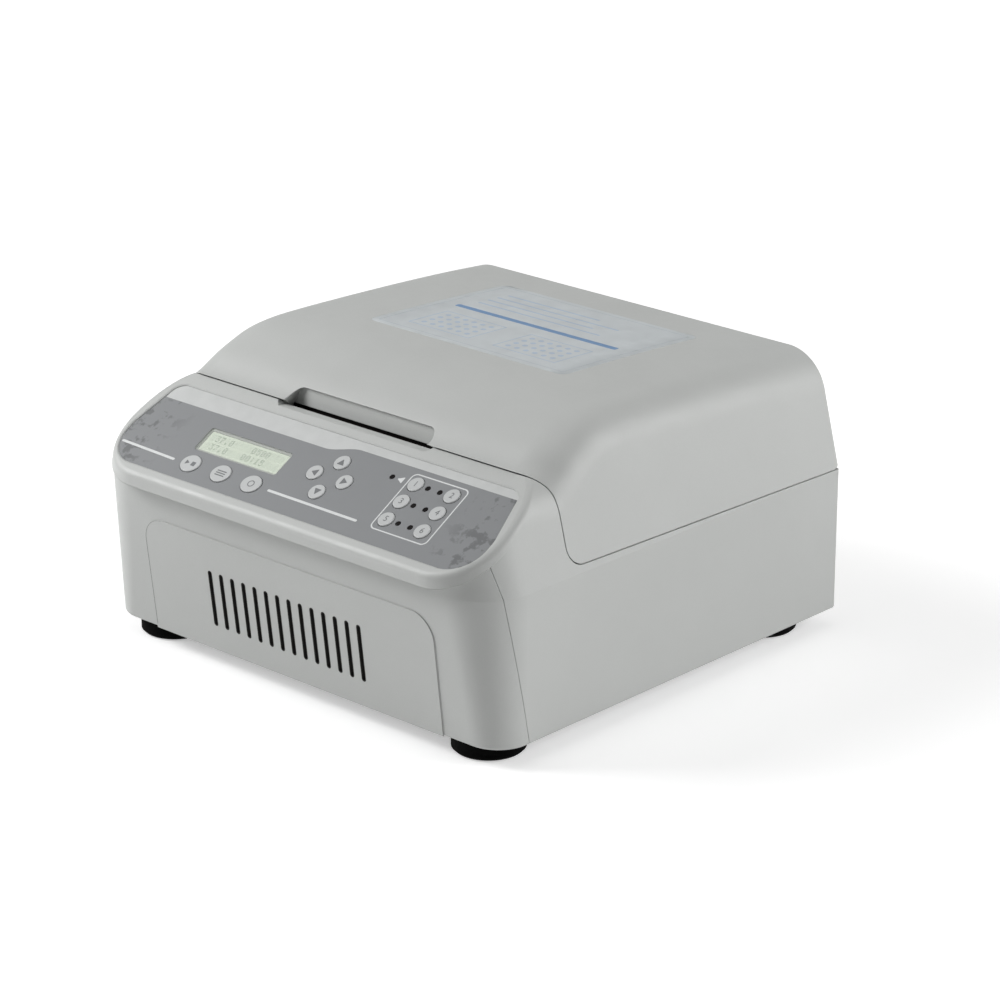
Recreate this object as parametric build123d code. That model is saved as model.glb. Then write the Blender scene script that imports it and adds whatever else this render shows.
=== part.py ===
from build123d import *
import os
from math import cos, pi, radians, sin, tan

# Bench-top thermal mixer for two microplates: a vented base with a sloped control console, an
# orbiting heated platform in a chamber, and a domed lid hinged along the rear edge.
# Millimetres. +X is to the right of someone facing the console, +Y to the rear, +Z up.
# The origin is on the bench, under the middle of the instrument.

# ---------------------------------------------------------------- overall size
WIDTH = 300.0
DEPTH = 297.0
FOOT_HEIGHT = 10.0
HALF_W = WIDTH / 2
LIP_Y = -DEPTH / 2                  # front edge of the console lip
REAR_Y = DEPTH / 2                  # rear face

# ---------------------------------------------------------------- mouldings
WALL = 3.0                          # wall of the plastic mouldings
SHELL_GAP = 0.3                     # gap between base mouldings
LID_GAP = 0.6                       # gap between lid and base
SIDE_LEAN = 14.4                    # degrees, side walls above the bend
SIDE_BEND_Z = 94.0                  # height where the side walls start to lean in
SHOULDER_R = 27.0                   # rounding between roof and side walls
FOOT_EDGE_R = 1.8                   # rounding of the bottom edge of the base

# front fascia
FASCIA_SETBACK = 18.0               # foot of the front face behind the lip
FASCIA_LEAN = 6.9                   # degrees, front face leans out going up
FASCIA_SEAM_BACK = 22.0             # side seam behind the foot of the front face
FASCIA_SEAM_LEAN = 10.9             # degrees
FASCIA_PAD_W = WIDTH - 80.0         # raised flat panel on the fascia
FASCIA_PAD_TOP = 70.0               # its height above the underside of the base
FASCIA_PAD_R = 15.0
FASCIA_PAD_RISE = 0.6
VENT_COUNT = 14
VENT_PITCH = 8.75
VENT_W = 2.4
VENT_H = 33.0
VENT_LOW = 16.0                     # lower end above the underside of the base
VENT_X = -2.6                       # middle of the row
FILTER_MARGIN = 4.0                 # foam pad reaches past the slots by this
FILTER_T = 4.0

# console
PANEL_TILT = 30.4                   # degrees from horizontal
PANEL_LIP_Z = 106.3                 # height of the rim plane above the lip line
PANEL_WALL = 4.5                    # wall under the control panel
CONSOLE_CORNER_R = 38.0
LIP_UNDER_Z = 99.0                  # underside of the lip at its front
LIP_TAPER = 5.5                     # height of the lip where it runs out into the sides
LIP_R = 4.5
REAR_CORNER_R = 2.0                 # rounding of the upright rear corners
SEAM_WALL_BACK = 72.0               # rear wall of the console behind the lip line
CREST_SET = 4.0                     # crest corner behind the top of the rim plane
CREST_R = 12.0
SEAM_FOOT_R = 11.0
SEAM_FRONT_Z = 98.6                 # lid seam along the side, front and rear
SEAM_REAR_Z = 94.2

# lid
ROOF_FRONT = [(24.5, 16.0), (72.5, 21.0)]                   # behind the seam wall, above the crest
ROOF_REAR = [(85.0, 18.4), (0.0, 12.4)]                     # ahead of the rear face, above the crest
BROW = (5.5, 6.3)                   # behind the seam wall, above the crest
BROW_SLOPE = 24.0                   # degrees, roof line at the brow
ROOF_REAR_SLOPE = 5.5               # degrees, falling to the rear
APRON_DROP = 0.8                    # lid's front edge below the crest corner
LID_REAR_R = 2.5                    # rounding round the back of the lid
HANDLE_W = 104.0                    # finger recess in the front of the lid
HANDLE_H = 10.2
HANDLE_R = 7.0
HANDLE_BACK = 2.8                   # foot of the recess's back wall behind the seam wall
HANDLE_LEAN = 12.0                  # degrees, back wall leans back going up
HANDLE_WALL = 5.0
HANDLE_LOW = 5.5                    # recess starts below the crest corner by this
HANDLE_FLARE = 4.0                  # recess widens by this at each end, going down
SLOT_W = 114.0                      # open slot under the recess
SLOT_BACK = 2.5                     # slot reaches behind the recess's back wall
SCOOP_W = 106.0                     # hollow in the console ahead of the slot, at its floor
SCOOP_AHEAD = 10.5                  # its front edge ahead of the seam wall
SCOOP_FALL = 5.3                    # its floor below the crest, at the seam wall
SCOOP_R = 8.0
SCOOP_FLARE = 35.0                  # degrees, its walls open going up

# hinge
HINGE_R = 5.0                       # barrel radius
HINGE_PIN_R = 2.0
HINGE_PIN_FIT = 0.05
HINGE_X = HALF_W - 55.0             # middle of each hinge
HINGE_PIN_L = 64.0
KNUCKLE_W = 28.0
KNUCKLE_GAP = 0.5
KNUCKLE_CLEAR = 0.3

# feet
FOOT_R = 20.0
FOOT_X = HALF_W - 29.6
FOOT_FRONT_BACK = 41.0              # front feet behind the lip line
FOOT_REAR_AHEAD = 30.0              # rear feet ahead of the rear face
FOOT_SCREW_R = 2.0
FOOT_SCREW_HEAD_R = 4.0
FOOT_SCREW_HEAD_H = 2.4
FOOT_RECESS_R = 6.0
FOOT_RECESS_H = 5.0

# base plate
PLATE_T = 2.0
PLATE_GAP = 0.4
COLUMN_R = 5.0                      # columns of the cover that stand on the plate
COLUMN_IN = 11.0                    # their axis in from the side walls
COLUMN_Y = (-62.0, 68.0)            # from the middle of the chamber
LEDGE_W = 170.0                     # ledge of the fascia that lies on the plate
LEDGE_T = 2.0
LEDGE_D = 6.0

# chamber
CHAMBER_W = WIDTH - 44.0            # room for the side walls and the ledge
CHAMBER_D = DEPTH - 109.0
CHAMBER_Y = REAR_Y - 22.5 - CHAMBER_D / 2                  # middle of the chamber
DECK_Z = 92.0                       # ledge that carries the tray
LEDGE = 12.0                        # width of the ledge around the opening
TRAY_T = 1.5
TRAY_FLANGE = 9.0
TRAY_FLOOR_Z = 70.0
TRAY_R = 14.0
TRAY_FIT = 0.5
GASKET_H = 3.5
GASKET_W = 5.0

# lid liner
LINER_T = 1.5
LINER_GAP = 0.3                     # air over the gasket with the lid closed
LINER_TOP_Z = 148.0
LINER_INSET = 4.0                   # liner wall inside the chamber wall
LINER_R = 14.0
LID_BOSS_R = 5.0
LID_BOSS_X = CHAMBER_W / 2 - 36.0
LID_BOSS_Y = CHAMBER_D / 2 - 32.0
LID_SCREW_R = 1.5

# orbital drive
ORBIT_R = 1.5
CRANK_SHAFT_R = 5.0
CRANK_PIN_R = 4.0
DRIVE_FIT = 0.05                    # radial clearance of every turning fit
BEARING_BIG = (13.0, 8.0)           # outer radius, width
BEARING_SMALL = (11.0, 7.0)
FRAME_W = 206.0
FRAME_D = 136.0
FRAME_T = 5.0
FRAME_Z = 52.0                      # underside of the drive plate
FRAME_TOP_Z = 62.0                  # top of its bearing bosses
FRAME_BOSS_WALL = 5.0
FRAME_POST_R = 6.0
FRAME_POST_X = 60.0
FRAME_POST_Y = 58.0
IDLER_X = 85.0
IDLER_Y = 55.0
IDLER_SHAFT_R = 4.0
IDLER_PIN_R = 3.0
WEB_GAP = 1.0                       # crank webs above the bosses
WEB_T = 4.0
CRANK_WEB_R = 12.0
WEIGHT_R = 34.0
PULLEY_W = 8.0
PULLEY_Z = 21.0
BELT_PITCH = 3.0
CRANK_TEETH = 45
MOTOR_TEETH = 18
BELT_T = 1.4
BELT_FIT = 0.15
FLANGE_T = 1.0
FLANGE_RISE = 1.8

# platform
PLATFORM_W = 208.0
PLATFORM_D = 148.0
CARRIER_Z = 82.0
CARRIER_T = 4.0
HEATER_T = 1.0
BLOCK_T = 11.0
HUB_R = 15.0
HUB_LOW = 73.0
BUSH_R = 6.0
BUSH_LOW = 75.0
SBS_LENGTH = 127.76                 # standard microplate footprint
SBS_WIDTH = 85.48
NEST_FIT = 0.6
NEST_DEPTH = 3.0
NEST_PITCH = 96.0
NEST_R = 3.5

# motor
MOTOR_R = 21.0
MOTOR_H = 42.0
MOTOR_BACK = 50.5                   # motor shaft behind the lip line
MOTOR_SHAFT_R = 2.5
BRACKET_T = 2.5
BRACKET_Z = 32.0
BRACKET_W = 66.0
BRACKET_D = 44.0

# control panel
RIM_RISE = 0.8                      # rim above the overlay
OVERLAY_T = 0.8
OVERLAY_GAP = 0.2
OVERLAY_CENTRE = 31.5               # overlay middle behind the lip line, measured level
OVERLAY_TOP = 30.0
OVERLAY_LOW_X = HALF_W - 13.5
OVERLAY_MID = -4.0
OVERLAY_UP_X = HALF_W - 21.0
OVERLAY_LOW_R = 20.0
OVERLAY_UP_R = 9.0
LCD_X = -52.3
LCD_S = 0.3
LCD_W = 63.2
LCD_H = 16.6
LCD_R = 1.8
LCD_LEDGE = 1.2
LCD_BEZEL = (4.0, 1.5, 6.0)         # margins and depth of the display's metal bezel
KEY_FIT = 0.3
KEY_RISE = 0.6                      # key top above the overlay
KEY_TRAVEL = 0.5
KEY_FLANGE = 1.2
KEY_FLANGE_T = 0.8
SWITCH = (6.0, 3.5)                 # side and height of a tact switch
FUNCTION_KEY = (13.4, 11.9)
FUNCTION_X = (-77.4, -53.6, -29.9)
FUNCTION_S = -17.8
ARROW_R = 5.0
ARROW_CENTRE = (12.7, 1.7)
ARROW_REACH = 11.1
MEMORY_R = 4.8
MEMORY_X = (65.9, 91.8)
MEMORY_S = (14.1, 1.4, -11.8)
LED_R = 1.5
LED_X = (74.5, 83.1)
LED_SINGLE = (48.5, 14.3)
BOARD_T = 1.6
BOARD_BOSS_R = 3.0
BOARD_BOSSES = [(-122.0, 21.0), (122.0, 21.0), (-122.0, -21.0), (122.0, -21.0), (-6.0, 21.0), (-6.0, -21.0)]

# rear services
INLET_X = HALF_W - 54.0
INLET_Z = 42.0
INLET_W = 27.0
INLET_H = 19.8
INLET_FLANGE = 3.0
INLET_DEPTH = 24.0
FUSE_Z = 24.5
FUSE_W = 24.0
FUSE_H = 9.0
ROCKER_X = INLET_X - 34.0
ROCKER_W = 19.4
ROCKER_H = 13.0
ROCKER_DEPTH = 16.0
ROCKER_TILT = 10.0
INLET_MOUTH = (24.0, 16.4, 5.0)     # width, height and corner cut of the plug's mouth
INLET_FLOOR = 6.0
BLADE = (2.0, 4.0)
BLADE_PLACES = [(0.0, 3.5), (-7.0, -1.5), (7.0, -1.5)]
BLADE_SHY = 3.0
FUSE_WALL = 1.0
ROCKER_END = 1.2                    # clearance at the ends of the rocker
ROCKER_PIVOT = 3.0                  # rocker's edges above its pivot
ROCKER_PIN_R = 1.2
ROCKER_PIN_OUT = 0.9                # how far the pivot pins reach out of the rocker
BEZEL_RIM = 1.5
FAN_X = 70.0 - HALF_W
SUPPLY_X = FAN_X
SUPPLY_Y = CHAMBER_Y + 13.0
SUPPLY_RISE = 6.0
SUPPLY_SIZE = (36.0, 74.0)
SUPPLY_PILLAR = (5.0, 3.0)          # place in from the board's edges, radius
TRANSFORMER = (28.0, 24.0, 20.0)    # width, depth, height
HEAT_SINK = (32.0, 4.0, 22.0)
CAPACITOR = (7.0, 20.0)             # radius, height
CAPACITOR_X = 10.0
SUPPLY_STEPS = (-18.0, 8.0, 26.0)   # transformer, capacitors and sink along the board
FAN_Z = 52.0
FAN_SIZE = 60.0
FAN_T = 15.0
FAN_BORE_R = 28.0
FAN_HUB_R = 13.0
FAN_BLADES = 7
FAN_SLOT = 4.0
BEZEL_T = 1.2

# ---------------------------------------------------------------- shared frames
TILT = radians(PANEL_TILT)
BASE_Z = FOOT_HEIGHT
SEAM_WALL_Y = LIP_Y + SEAM_WALL_BACK
PANEL_NORMAL = Vector(0, -sin(TILT), cos(TILT))


def rim_height(y):
    """Height of the rim plane over a place on the console."""
    return PANEL_LIP_Z + (y - LIP_Y) * tan(TILT)


CREST_Z = rim_height(SEAM_WALL_Y - CREST_SET)
CORNER_Y = LIP_Y + CONSOLE_CORNER_R
APRON_Z = CREST_Z - APRON_DROP
OVERLAY_Y = LIP_Y + OVERLAY_CENTRE
RIM_PLANE = Plane(origin=(0, OVERLAY_Y, rim_height(OVERLAY_Y)), x_dir=(1, 0, 0), z_dir=PANEL_NORMAL)
OVERLAY_FACE = -RIM_RISE            # levels along the panel's normal, from the rim plane
OVERLAY_BACK = OVERLAY_FACE - OVERLAY_T
COVER_BACK = -PANEL_WALL
FLANGE_TOP = COVER_BACK - KEY_FIT
SWITCH_TOP = FLANGE_TOP - KEY_FLANGE_T - KEY_TRAVEL - KEY_FIT
BOARD_TOP = SWITCH_TOP - SWITCH[1]
HINGE_Y = REAR_Y - HINGE_R
HINGE_Z = SEAM_REAR_Z + HINGE_R + KNUCKLE_CLEAR
DRIVE = (0.0, CHAMBER_Y)
IDLERS = [(x, CHAMBER_Y + y) for x in (-IDLER_X, IDLER_X) for y in (-IDLER_Y, IDLER_Y)]
PIN = (ORBIT_R, CHAMBER_Y)          # crank pin at rest, displaced towards +X
MOTOR_Y = LIP_Y + MOTOR_BACK
CRANK_PULLEY_R = CRANK_TEETH * BELT_PITCH / (2 * pi)
MOTOR_PULLEY_R = MOTOR_TEETH * BELT_PITCH / (2 * pi)
ROCKER_HEIGHT = ROCKER_H - 4 * SHELL_GAP - 2 * BEZEL_T
ROCKER_Y = REAR_Y - ROCKER_PIVOT - (ROCKER_W / 2) * sin(radians(ROCKER_TILT))
FEET = [(x, y) for x in (-FOOT_X, FOOT_X) for y in (LIP_Y + FOOT_FRONT_BACK, REAR_Y - FOOT_REAR_AHEAD)]
FAR = 400.0                         # reach of cutting tools beyond the instrument


# ---------------------------------------------------------------- helpers
def block(x, y, z):
    """A box between the given (low, high) limits."""
    return Pos((x[0] + x[1]) / 2, (y[0] + y[1]) / 2, (z[0] + z[1]) / 2) * Box(
        x[1] - x[0], y[1] - y[0], z[1] - z[0])


def post(x, y, r, low, high):
    """An upright cylinder."""
    return Pos(x, y, (low + high) / 2) * Cylinder(r, high - low)


def ring(x, y, outer, inner, low, high):
    """An upright tube."""
    return post(x, y, outer, low, high) - post(x, y, inner, low - 1, high + 1)


def rounded_box(w, d, r, low, high, x=0.0, y=0.0):
    """An upright prism with a rounded rectangular plan."""
    return extrude(Pos(x, y, low) * RectangleRounded(w, d, r), high - low)


def side_profile(points, rounds=()):
    """A face in the YZ plane from (y, z) points; rounds are (point, radius)."""
    face = make_face(Polyline(*points, close=True))
    for (y, z), radius in rounds:
        face = fillet(face.vertices().sort_by_distance((y, z, 0))[0], radius)
    return Plane.YZ * face


def across(face, half=FAR):
    """Extrude a YZ face to both sides."""
    return extrude(face, half, both=True)


def union(parts):
    """One part from many."""
    total = parts[0]
    for part in parts[1:]:
        total = total + part
    return total


# ---------------------------------------------------------------- outer forms
def leaning_walls(inset, low, high):
    """Prism along Y with upright sides that lean in above the bend."""
    half = HALF_W - inset
    top = half - (high - SIDE_BEND_Z) * tan(radians(SIDE_LEAN))
    points = [(-half, low), (half, low), (half, SIDE_BEND_Z), (top, high), (-top, high), (-half, SIDE_BEND_Z)]
    face = Plane.XZ * make_face(Polyline(*points, close=True))
    return extrude(face, FAR, both=True)


def plan_outline(front, rear, inset, z, rear_r):
    """Outline at a height: sides lean in above the bend, front corners run out at CORNER_Y."""
    half = HALF_W - inset - max(0.0, z - SIDE_BEND_Z) * tan(radians(SIDE_LEAN))
    plan = make_face(Polyline((-half, front), (half, front), (half, rear), (-half, rear), close=True))
    plan = fillet(plan.vertices().sort_by(Axis.Y)[:2], CORNER_Y - front)
    if rear_r:
        plan = fillet(plan.vertices().sort_by(Axis.Y)[-2:], rear_r)
    return Pos(0, 0, z) * plan


def base_body(inset, low, high):
    """Body of the base between two heights; its front leans out going up."""
    levels = [z for z in (low, SIDE_BEND_Z, high) if low <= z <= high]
    plans = []
    for z in levels:
        front = LIP_Y + FASCIA_SETBACK + inset - (z - BASE_Z) * tan(radians(FASCIA_LEAN))
        plans.append(plan_outline(front, REAR_Y - inset, inset, z, REAR_CORNER_R))
    steps = [loft(pair, ruled=True) for pair in zip(plans, plans[1:])]
    return union(steps)


def lip_under(y):
    """Height of the lip's underside."""
    run = CORNER_Y - LIP_Y
    return LIP_UNDER_Z + (y - LIP_Y) * (rim_height(CORNER_Y) - LIP_TAPER - LIP_UNDER_Z) / run


def console_form():
    """Upper front of the base: rounded in plan, cut by the sloped panel, with a rounded rim."""
    rear = SEAM_WALL_Y + CREST_R
    form = loft([plan_outline(LIP_Y, rear, 0, z, 0) for z in (LIP_UNDER_Z, CREST_Z)], ruled=True)
    shoulders = [e for e in form.edges().filter_by(Axis.Y) if e.center().Z > CREST_Z - 1]
    form = fillet(shoulders, SHOULDER_R)
    above = side_profile([(LIP_Y - FAR, rim_height(LIP_Y - FAR)), (FAR, rim_height(FAR)),
                          (LIP_Y - FAR, rim_height(FAR))])
    form = form - across(above)
    rim_face = form.faces().sort_by(Axis(RIM_PLANE.origin, PANEL_NORMAL))[-1]
    rim_edges = [e for e in rim_face.edges() if e.center().Z < CREST_Z - 1]
    form = fillet(rim_edges, LIP_R)
    under = side_profile([(LIP_Y - FAR, 0), (CORNER_Y, 0), (CORNER_Y, lip_under(CORNER_Y)),
                          (LIP_Y - 1, lip_under(LIP_Y - 1)), (LIP_Y - FAR, lip_under(LIP_Y - 1))])
    return form - across(under)


def over_seam(gap=0.0):
    """Everything on the lid's side of the seam between lid and base."""
    wall = SEAM_WALL_Y - gap
    crest = CREST_Z - gap
    slope = (SEAM_REAR_Z - SEAM_FRONT_Z) / (REAR_Y - SEAM_WALL_Y)
    front = SEAM_FRONT_Z - gap
    rear = front + slope * (FAR - wall)
    points = [(-FAR, crest), (wall, crest), (wall, front), (FAR, rear), (FAR, FAR), (-FAR, FAR)]
    rounds = [((wall, crest), CREST_R - gap), ((wall, front), SEAM_FOOT_R + gap)]
    return across(side_profile(points, rounds))


def roof_form(inset=0.0):
    """The lid's outer form above the base: roof line swept across, leaning sides, round shoulders."""
    crest = APRON_Z - inset
    front = [(SEAM_WALL_Y + back, CREST_Z + up - inset) for back, up in ROOF_FRONT]
    rear = [(REAR_Y - ahead, CREST_Z + up - inset) for ahead, up in ROOF_REAR]
    rear[-1] = (REAR_Y - inset, rear[-1][1])
    brow_dir = (cos(radians(BROW_SLOPE)), sin(radians(BROW_SLOPE)))
    rear_dir = (cos(radians(ROOF_REAR_SLOPE)), -sin(radians(ROOF_REAR_SLOPE)))
    start = (SEAM_WALL_Y - CREST_R / 2, crest)
    brow = (SEAM_WALL_Y + BROW[0], CREST_Z + BROW[1] - inset)
    low = SIDE_BEND_Z - 2 * SHOULDER_R
    outset = (LIP_Y, crest)
    outline = Line(outset, start)
    outline += Spline(start, brow, front[0], tangents=[(1, 0.4), brow_dir])
    outline += Spline(*front, *rear, tangents=[brow_dir, rear_dir])
    outline += Polyline(rear[-1], (rear[-1][0], low), (LIP_Y, low), outset)
    form = across(Plane.YZ * make_face(outline))
    form = form & leaning_walls(inset, low - 1, CREST_Z + DEPTH)
    creases = [e for e in form.edges() if e.center().Z > crest - 1 and abs(e.tangent_at(0.5).X) < 0.7]
    form = fillet(creases, SHOULDER_R - inset)
    back = [e for e in form.edges() if min(v.Y for v in e.vertices()) > REAR_Y - inset - 0.1
            and e.center().Z > low + 1]
    return fillet(back, LID_REAR_R) if inset == 0 else form


# ---------------------------------------------------------------- base mouldings
def base_shell():
    """Outer skin of the whole base, cover and fascia together, hollow and open below."""
    outer = base_body(0, BASE_Z, lip_under(CORNER_Y))
    outer = fillet(outer.edges().group_by(Axis.Z)[0], FOOT_EDGE_R)
    over = side_profile([(-FAR, lip_under(LIP_Y - 1)), (LIP_Y - 1, lip_under(LIP_Y - 1)),
                         (CORNER_Y, lip_under(CORNER_Y)), (CORNER_Y, LIP_UNDER_Z), (FAR, LIP_UNDER_Z),
                         (FAR, FAR), (-FAR, FAR)])
    outer = outer - across(over) + console_form()
    outer = outer - over_seam(LID_GAP)
    inner_console = base_body(WALL, BASE_Z - 1, CREST_Z - WALL)
    back_y = SEAM_WALL_Y - LID_GAP - WALL
    above = side_profile([(-FAR, rim_height(-FAR) - PANEL_WALL / cos(TILT)),
                          (FAR, rim_height(FAR) - PANEL_WALL / cos(TILT)), (-FAR, rim_height(FAR))])
    inner_console = inner_console & block((-FAR, FAR), (-FAR, back_y), (0, CREST_Z - CREST_R))
    inner_console = inner_console - across(above)
    inner_deck = base_body(WALL, BASE_Z - 1, DECK_Z - WALL)
    return outer - inner_console - inner_deck


def fascia_zone(gap):
    """Space in front of the fascia's side seam and below the lip."""
    foot = LIP_Y + FASCIA_SETBACK + FASCIA_SEAM_BACK + gap
    run = tan(radians(FASCIA_SEAM_LEAN))
    lift = gap - SHELL_GAP
    slope = (lip_under(CORNER_Y) - LIP_UNDER_Z) / (CORNER_Y - LIP_Y)
    meet = (foot + BASE_Z * run - (LIP_UNDER_Z + lift - LIP_Y * slope) * run) / (1 + slope * run)
    low = lip_under(LIP_Y - 1) + lift
    points = [(-FAR, 0), (foot + BASE_Z * run, 0), (meet, lip_under(meet) + lift), (LIP_Y - 1, low),
              (-FAR, low)]
    return across(side_profile(points))


def panel_prism(sketch, low, high):
    """Extrude a sketch on the control panel between two levels along the panel's normal."""
    return extrude(RIM_PLANE * (Pos(0, 0, low) * sketch), high - low)


def overlay_outline(gap=0.0):
    """Outline of the membrane overlay: broad low corners, upper sides drawn in."""
    low = -OVERLAY_TOP - gap
    high = OVERLAY_TOP + gap
    wide = OVERLAY_LOW_X + gap
    top = OVERLAY_UP_X + gap
    points = [(-top, high), (-wide, OVERLAY_MID), (-wide, low), (wide, low), (wide, OVERLAY_MID), (top, high)]
    face = make_face(Polyline(*points, close=True))
    corners = face.vertices().sort_by(Axis.Y)
    face = fillet(corners[:2], OVERLAY_LOW_R + gap)
    middle = [v for v in face.vertices() if abs(v.Y - OVERLAY_MID) < 1]
    face = fillet(middle, OVERLAY_LOW_R)
    tips = [v for v in face.vertices() if abs(v.Y - high) < 0.01]
    return fillet(tips, OVERLAY_UP_R + gap)


def function_key_outline(gap=0.0):
    return Ellipse(FUNCTION_KEY[0] / 2 + gap, FUNCTION_KEY[1] / 2 + gap)


def keys():
    """Every key: name -> (x, s, outline function)."""
    table = {}
    for number, x in enumerate(FUNCTION_X, 1):
        table[f"function_key_{number}"] = (x, FUNCTION_S, function_key_outline)
    arrows = {"up": (0, 1), "left": (-1, 0), "right": (1, 0), "down": (0, -1)}
    for name, (dx, ds) in arrows.items():
        place = (ARROW_CENTRE[0] + dx * ARROW_REACH, ARROW_CENTRE[1] + ds * ARROW_REACH)
        table[f"arrow_key_{name}"] = (*place, lambda gap=0.0: Circle(ARROW_R + gap))
    number = 0
    for s in MEMORY_S:
        for x in MEMORY_X:
            number += 1
            table[f"memory_key_{number}"] = (x, s, lambda gap=0.0: Circle(MEMORY_R + gap))
    return table


KEYS = keys()
LEDS = [LED_SINGLE] + [(x, s) for s in MEMORY_S for x in LED_X]


def key_openings():
    """Holes for every key and lamp, as one sketch."""
    holes = [Pos(x, s) * outline(KEY_FIT) for x, s, outline in KEYS.values()]
    holes += [Pos(x, s) * Circle(LED_R + OVERLAY_GAP) for x, s in LEDS]
    return union(holes)


def lcd_outline(gap=0.0):
    return Pos(LCD_X, LCD_S) * RectangleRounded(LCD_W + 2 * gap, LCD_H + 2 * gap, LCD_R + gap)


def rear_prism(sketch, x, z, inward, proud=0.0):
    """Extrude a sketch drawn on the rear face, from `inward` inside it to `proud` outside it."""
    plane = Plane(origin=(x, REAR_Y - inward, z), x_dir=(-1, 0, 0), z_dir=(0, 1, 0))
    return extrude(plane * sketch, inward + proud)


def rear_cut(width, height, x, z, radius=1.0):
    """A cutter through the rear wall."""
    return rear_prism(RectangleRounded(width, height, radius), x, z, 2 * WALL, 2 * WALL)


def rocker_bezel(gap=0.0):
    """Outline of the power switch's bezel, let into the rear wall."""
    return RectangleRounded(ROCKER_W + 2 * (BEZEL_RIM + gap), ROCKER_H + 2 * (BEZEL_RIM + gap), BEZEL_RIM)


def fan_grille():
    """Slots through the rear wall over the fan, trimmed to the fan's bore."""
    pitch = 2 * FAN_SLOT
    count = int(2 * FAN_BORE_R / pitch)
    bore = Pos(FAN_X, REAR_Y, FAN_Z) * Rot(90, 0, 0) * Cylinder(FAN_BORE_R - 1, 4 * WALL)
    slots = []
    for i in range(count):
        z = FAN_Z + (i - (count - 1) / 2) * pitch
        slots.append(rear_cut(2 * FAN_BORE_R, FAN_SLOT, FAN_X, z))
    return union(slots) & bore


def knuckle(x):
    """Hinge knuckle of the base: a barrel on a stem from the rear wall."""
    half = KNUCKLE_W / 2
    r = HINGE_R - KNUCKLE_CLEAR
    barrel = Pos(x, HINGE_Y, HINGE_Z) * Rot(0, 90, 0) * Cylinder(r, KNUCKLE_W)
    stem = block((x - half, x + half), (HINGE_Y - r, HINGE_Y + r), (DECK_Z - WALL, HINGE_Z))
    return barrel + stem


def hinge_bore(x):
    return Pos(x, HINGE_Y, HINGE_Z) * Rot(0, 90, 0) * Cylinder(HINGE_PIN_R + HINGE_PIN_FIT, HINGE_PIN_L)


def console_scoop():
    """Hollow over the console's rear edge, ahead of the lid's finger recess."""
    length = 2 * SCOOP_AHEAD
    low = CREST_Z - 2 * SCOOP_FALL
    plan = Pos(0, SEAM_WALL_Y, low) * RectangleRounded(SCOOP_W, length, SCOOP_R)
    tool = extrude(plan, 4 * SCOOP_FALL, taper=-SCOOP_FLARE)
    edge_y = SEAM_WALL_Y - SCOOP_AHEAD
    floor = side_profile([(edge_y - FAR, rim_height(edge_y)), (edge_y, rim_height(edge_y)),
                          (SEAM_WALL_Y, CREST_Z - SCOOP_FALL), (SEAM_WALL_Y, FAR), (edge_y - FAR, FAR)])
    return tool & across(floor)


def base_cover(skin):
    """Console, side walls, rear wall and deck of the base in one moulding."""
    cover = skin - fascia_zone(SHELL_GAP)
    ledge = rounded_box(CHAMBER_W + 2 * LEDGE, CHAMBER_D + 2 * LEDGE, TRAY_R + LEDGE, DECK_Z, FAR,
                        0, CHAMBER_Y)
    ledge = ledge - block((-FAR, FAR), (-FAR, SEAM_WALL_Y + WALL), (0, FAR))
    cover = cover - ledge
    cover = cover - rounded_box(CHAMBER_W, CHAMBER_D, TRAY_R, 0, FAR, 0, CHAMBER_Y)
    cover = cover - panel_prism(overlay_outline(OVERLAY_GAP), OVERLAY_BACK, PANEL_WALL)
    cover = cover - panel_prism(key_openings(), -2 * PANEL_WALL, 0)
    cover = cover - panel_prism(lcd_outline(-LCD_LEDGE), -2 * PANEL_WALL, 0)
    cover = cover - console_scoop()
    bosses = [Pos(x, s) * Circle(BOARD_BOSS_R) for x, s in BOARD_BOSSES]
    cover = cover + panel_prism(union(bosses), BOARD_TOP, COVER_BACK + 1)
    for side in (-1, 1):
        cover = cover + knuckle(side * HINGE_X)
        cover = cover - hinge_bore(side * HINGE_X)
    for side in (-1, 1):
        for y in COLUMN_Y:
            x = side * (HALF_W - COLUMN_IN)
            cover = cover + post(x, CHAMBER_Y + y, COLUMN_R, BASE_Z + PLATE_T, DECK_Z - 1)
    cover = cover - rear_cut(INLET_W, INLET_H, INLET_X, INLET_Z)
    cover = cover - rear_cut(FUSE_W, FUSE_H, INLET_X, FUSE_Z)
    cover = cover - rear_cut(ROCKER_W, ROCKER_H, ROCKER_X, INLET_Z)
    cover = cover - rear_prism(rocker_bezel(SHELL_GAP), ROCKER_X, INLET_Z, BEZEL_T, 1)
    return cover - fan_grille()


def fascia_face():
    """Plane of the fascia's front, with its origin at the foot."""
    lean = radians(FASCIA_LEAN)
    foot = (0, LIP_Y + FASCIA_SETBACK, BASE_Z)
    return Plane(origin=foot, x_dir=(1, 0, 0), z_dir=(0, -cos(lean), -sin(lean)))


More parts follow.
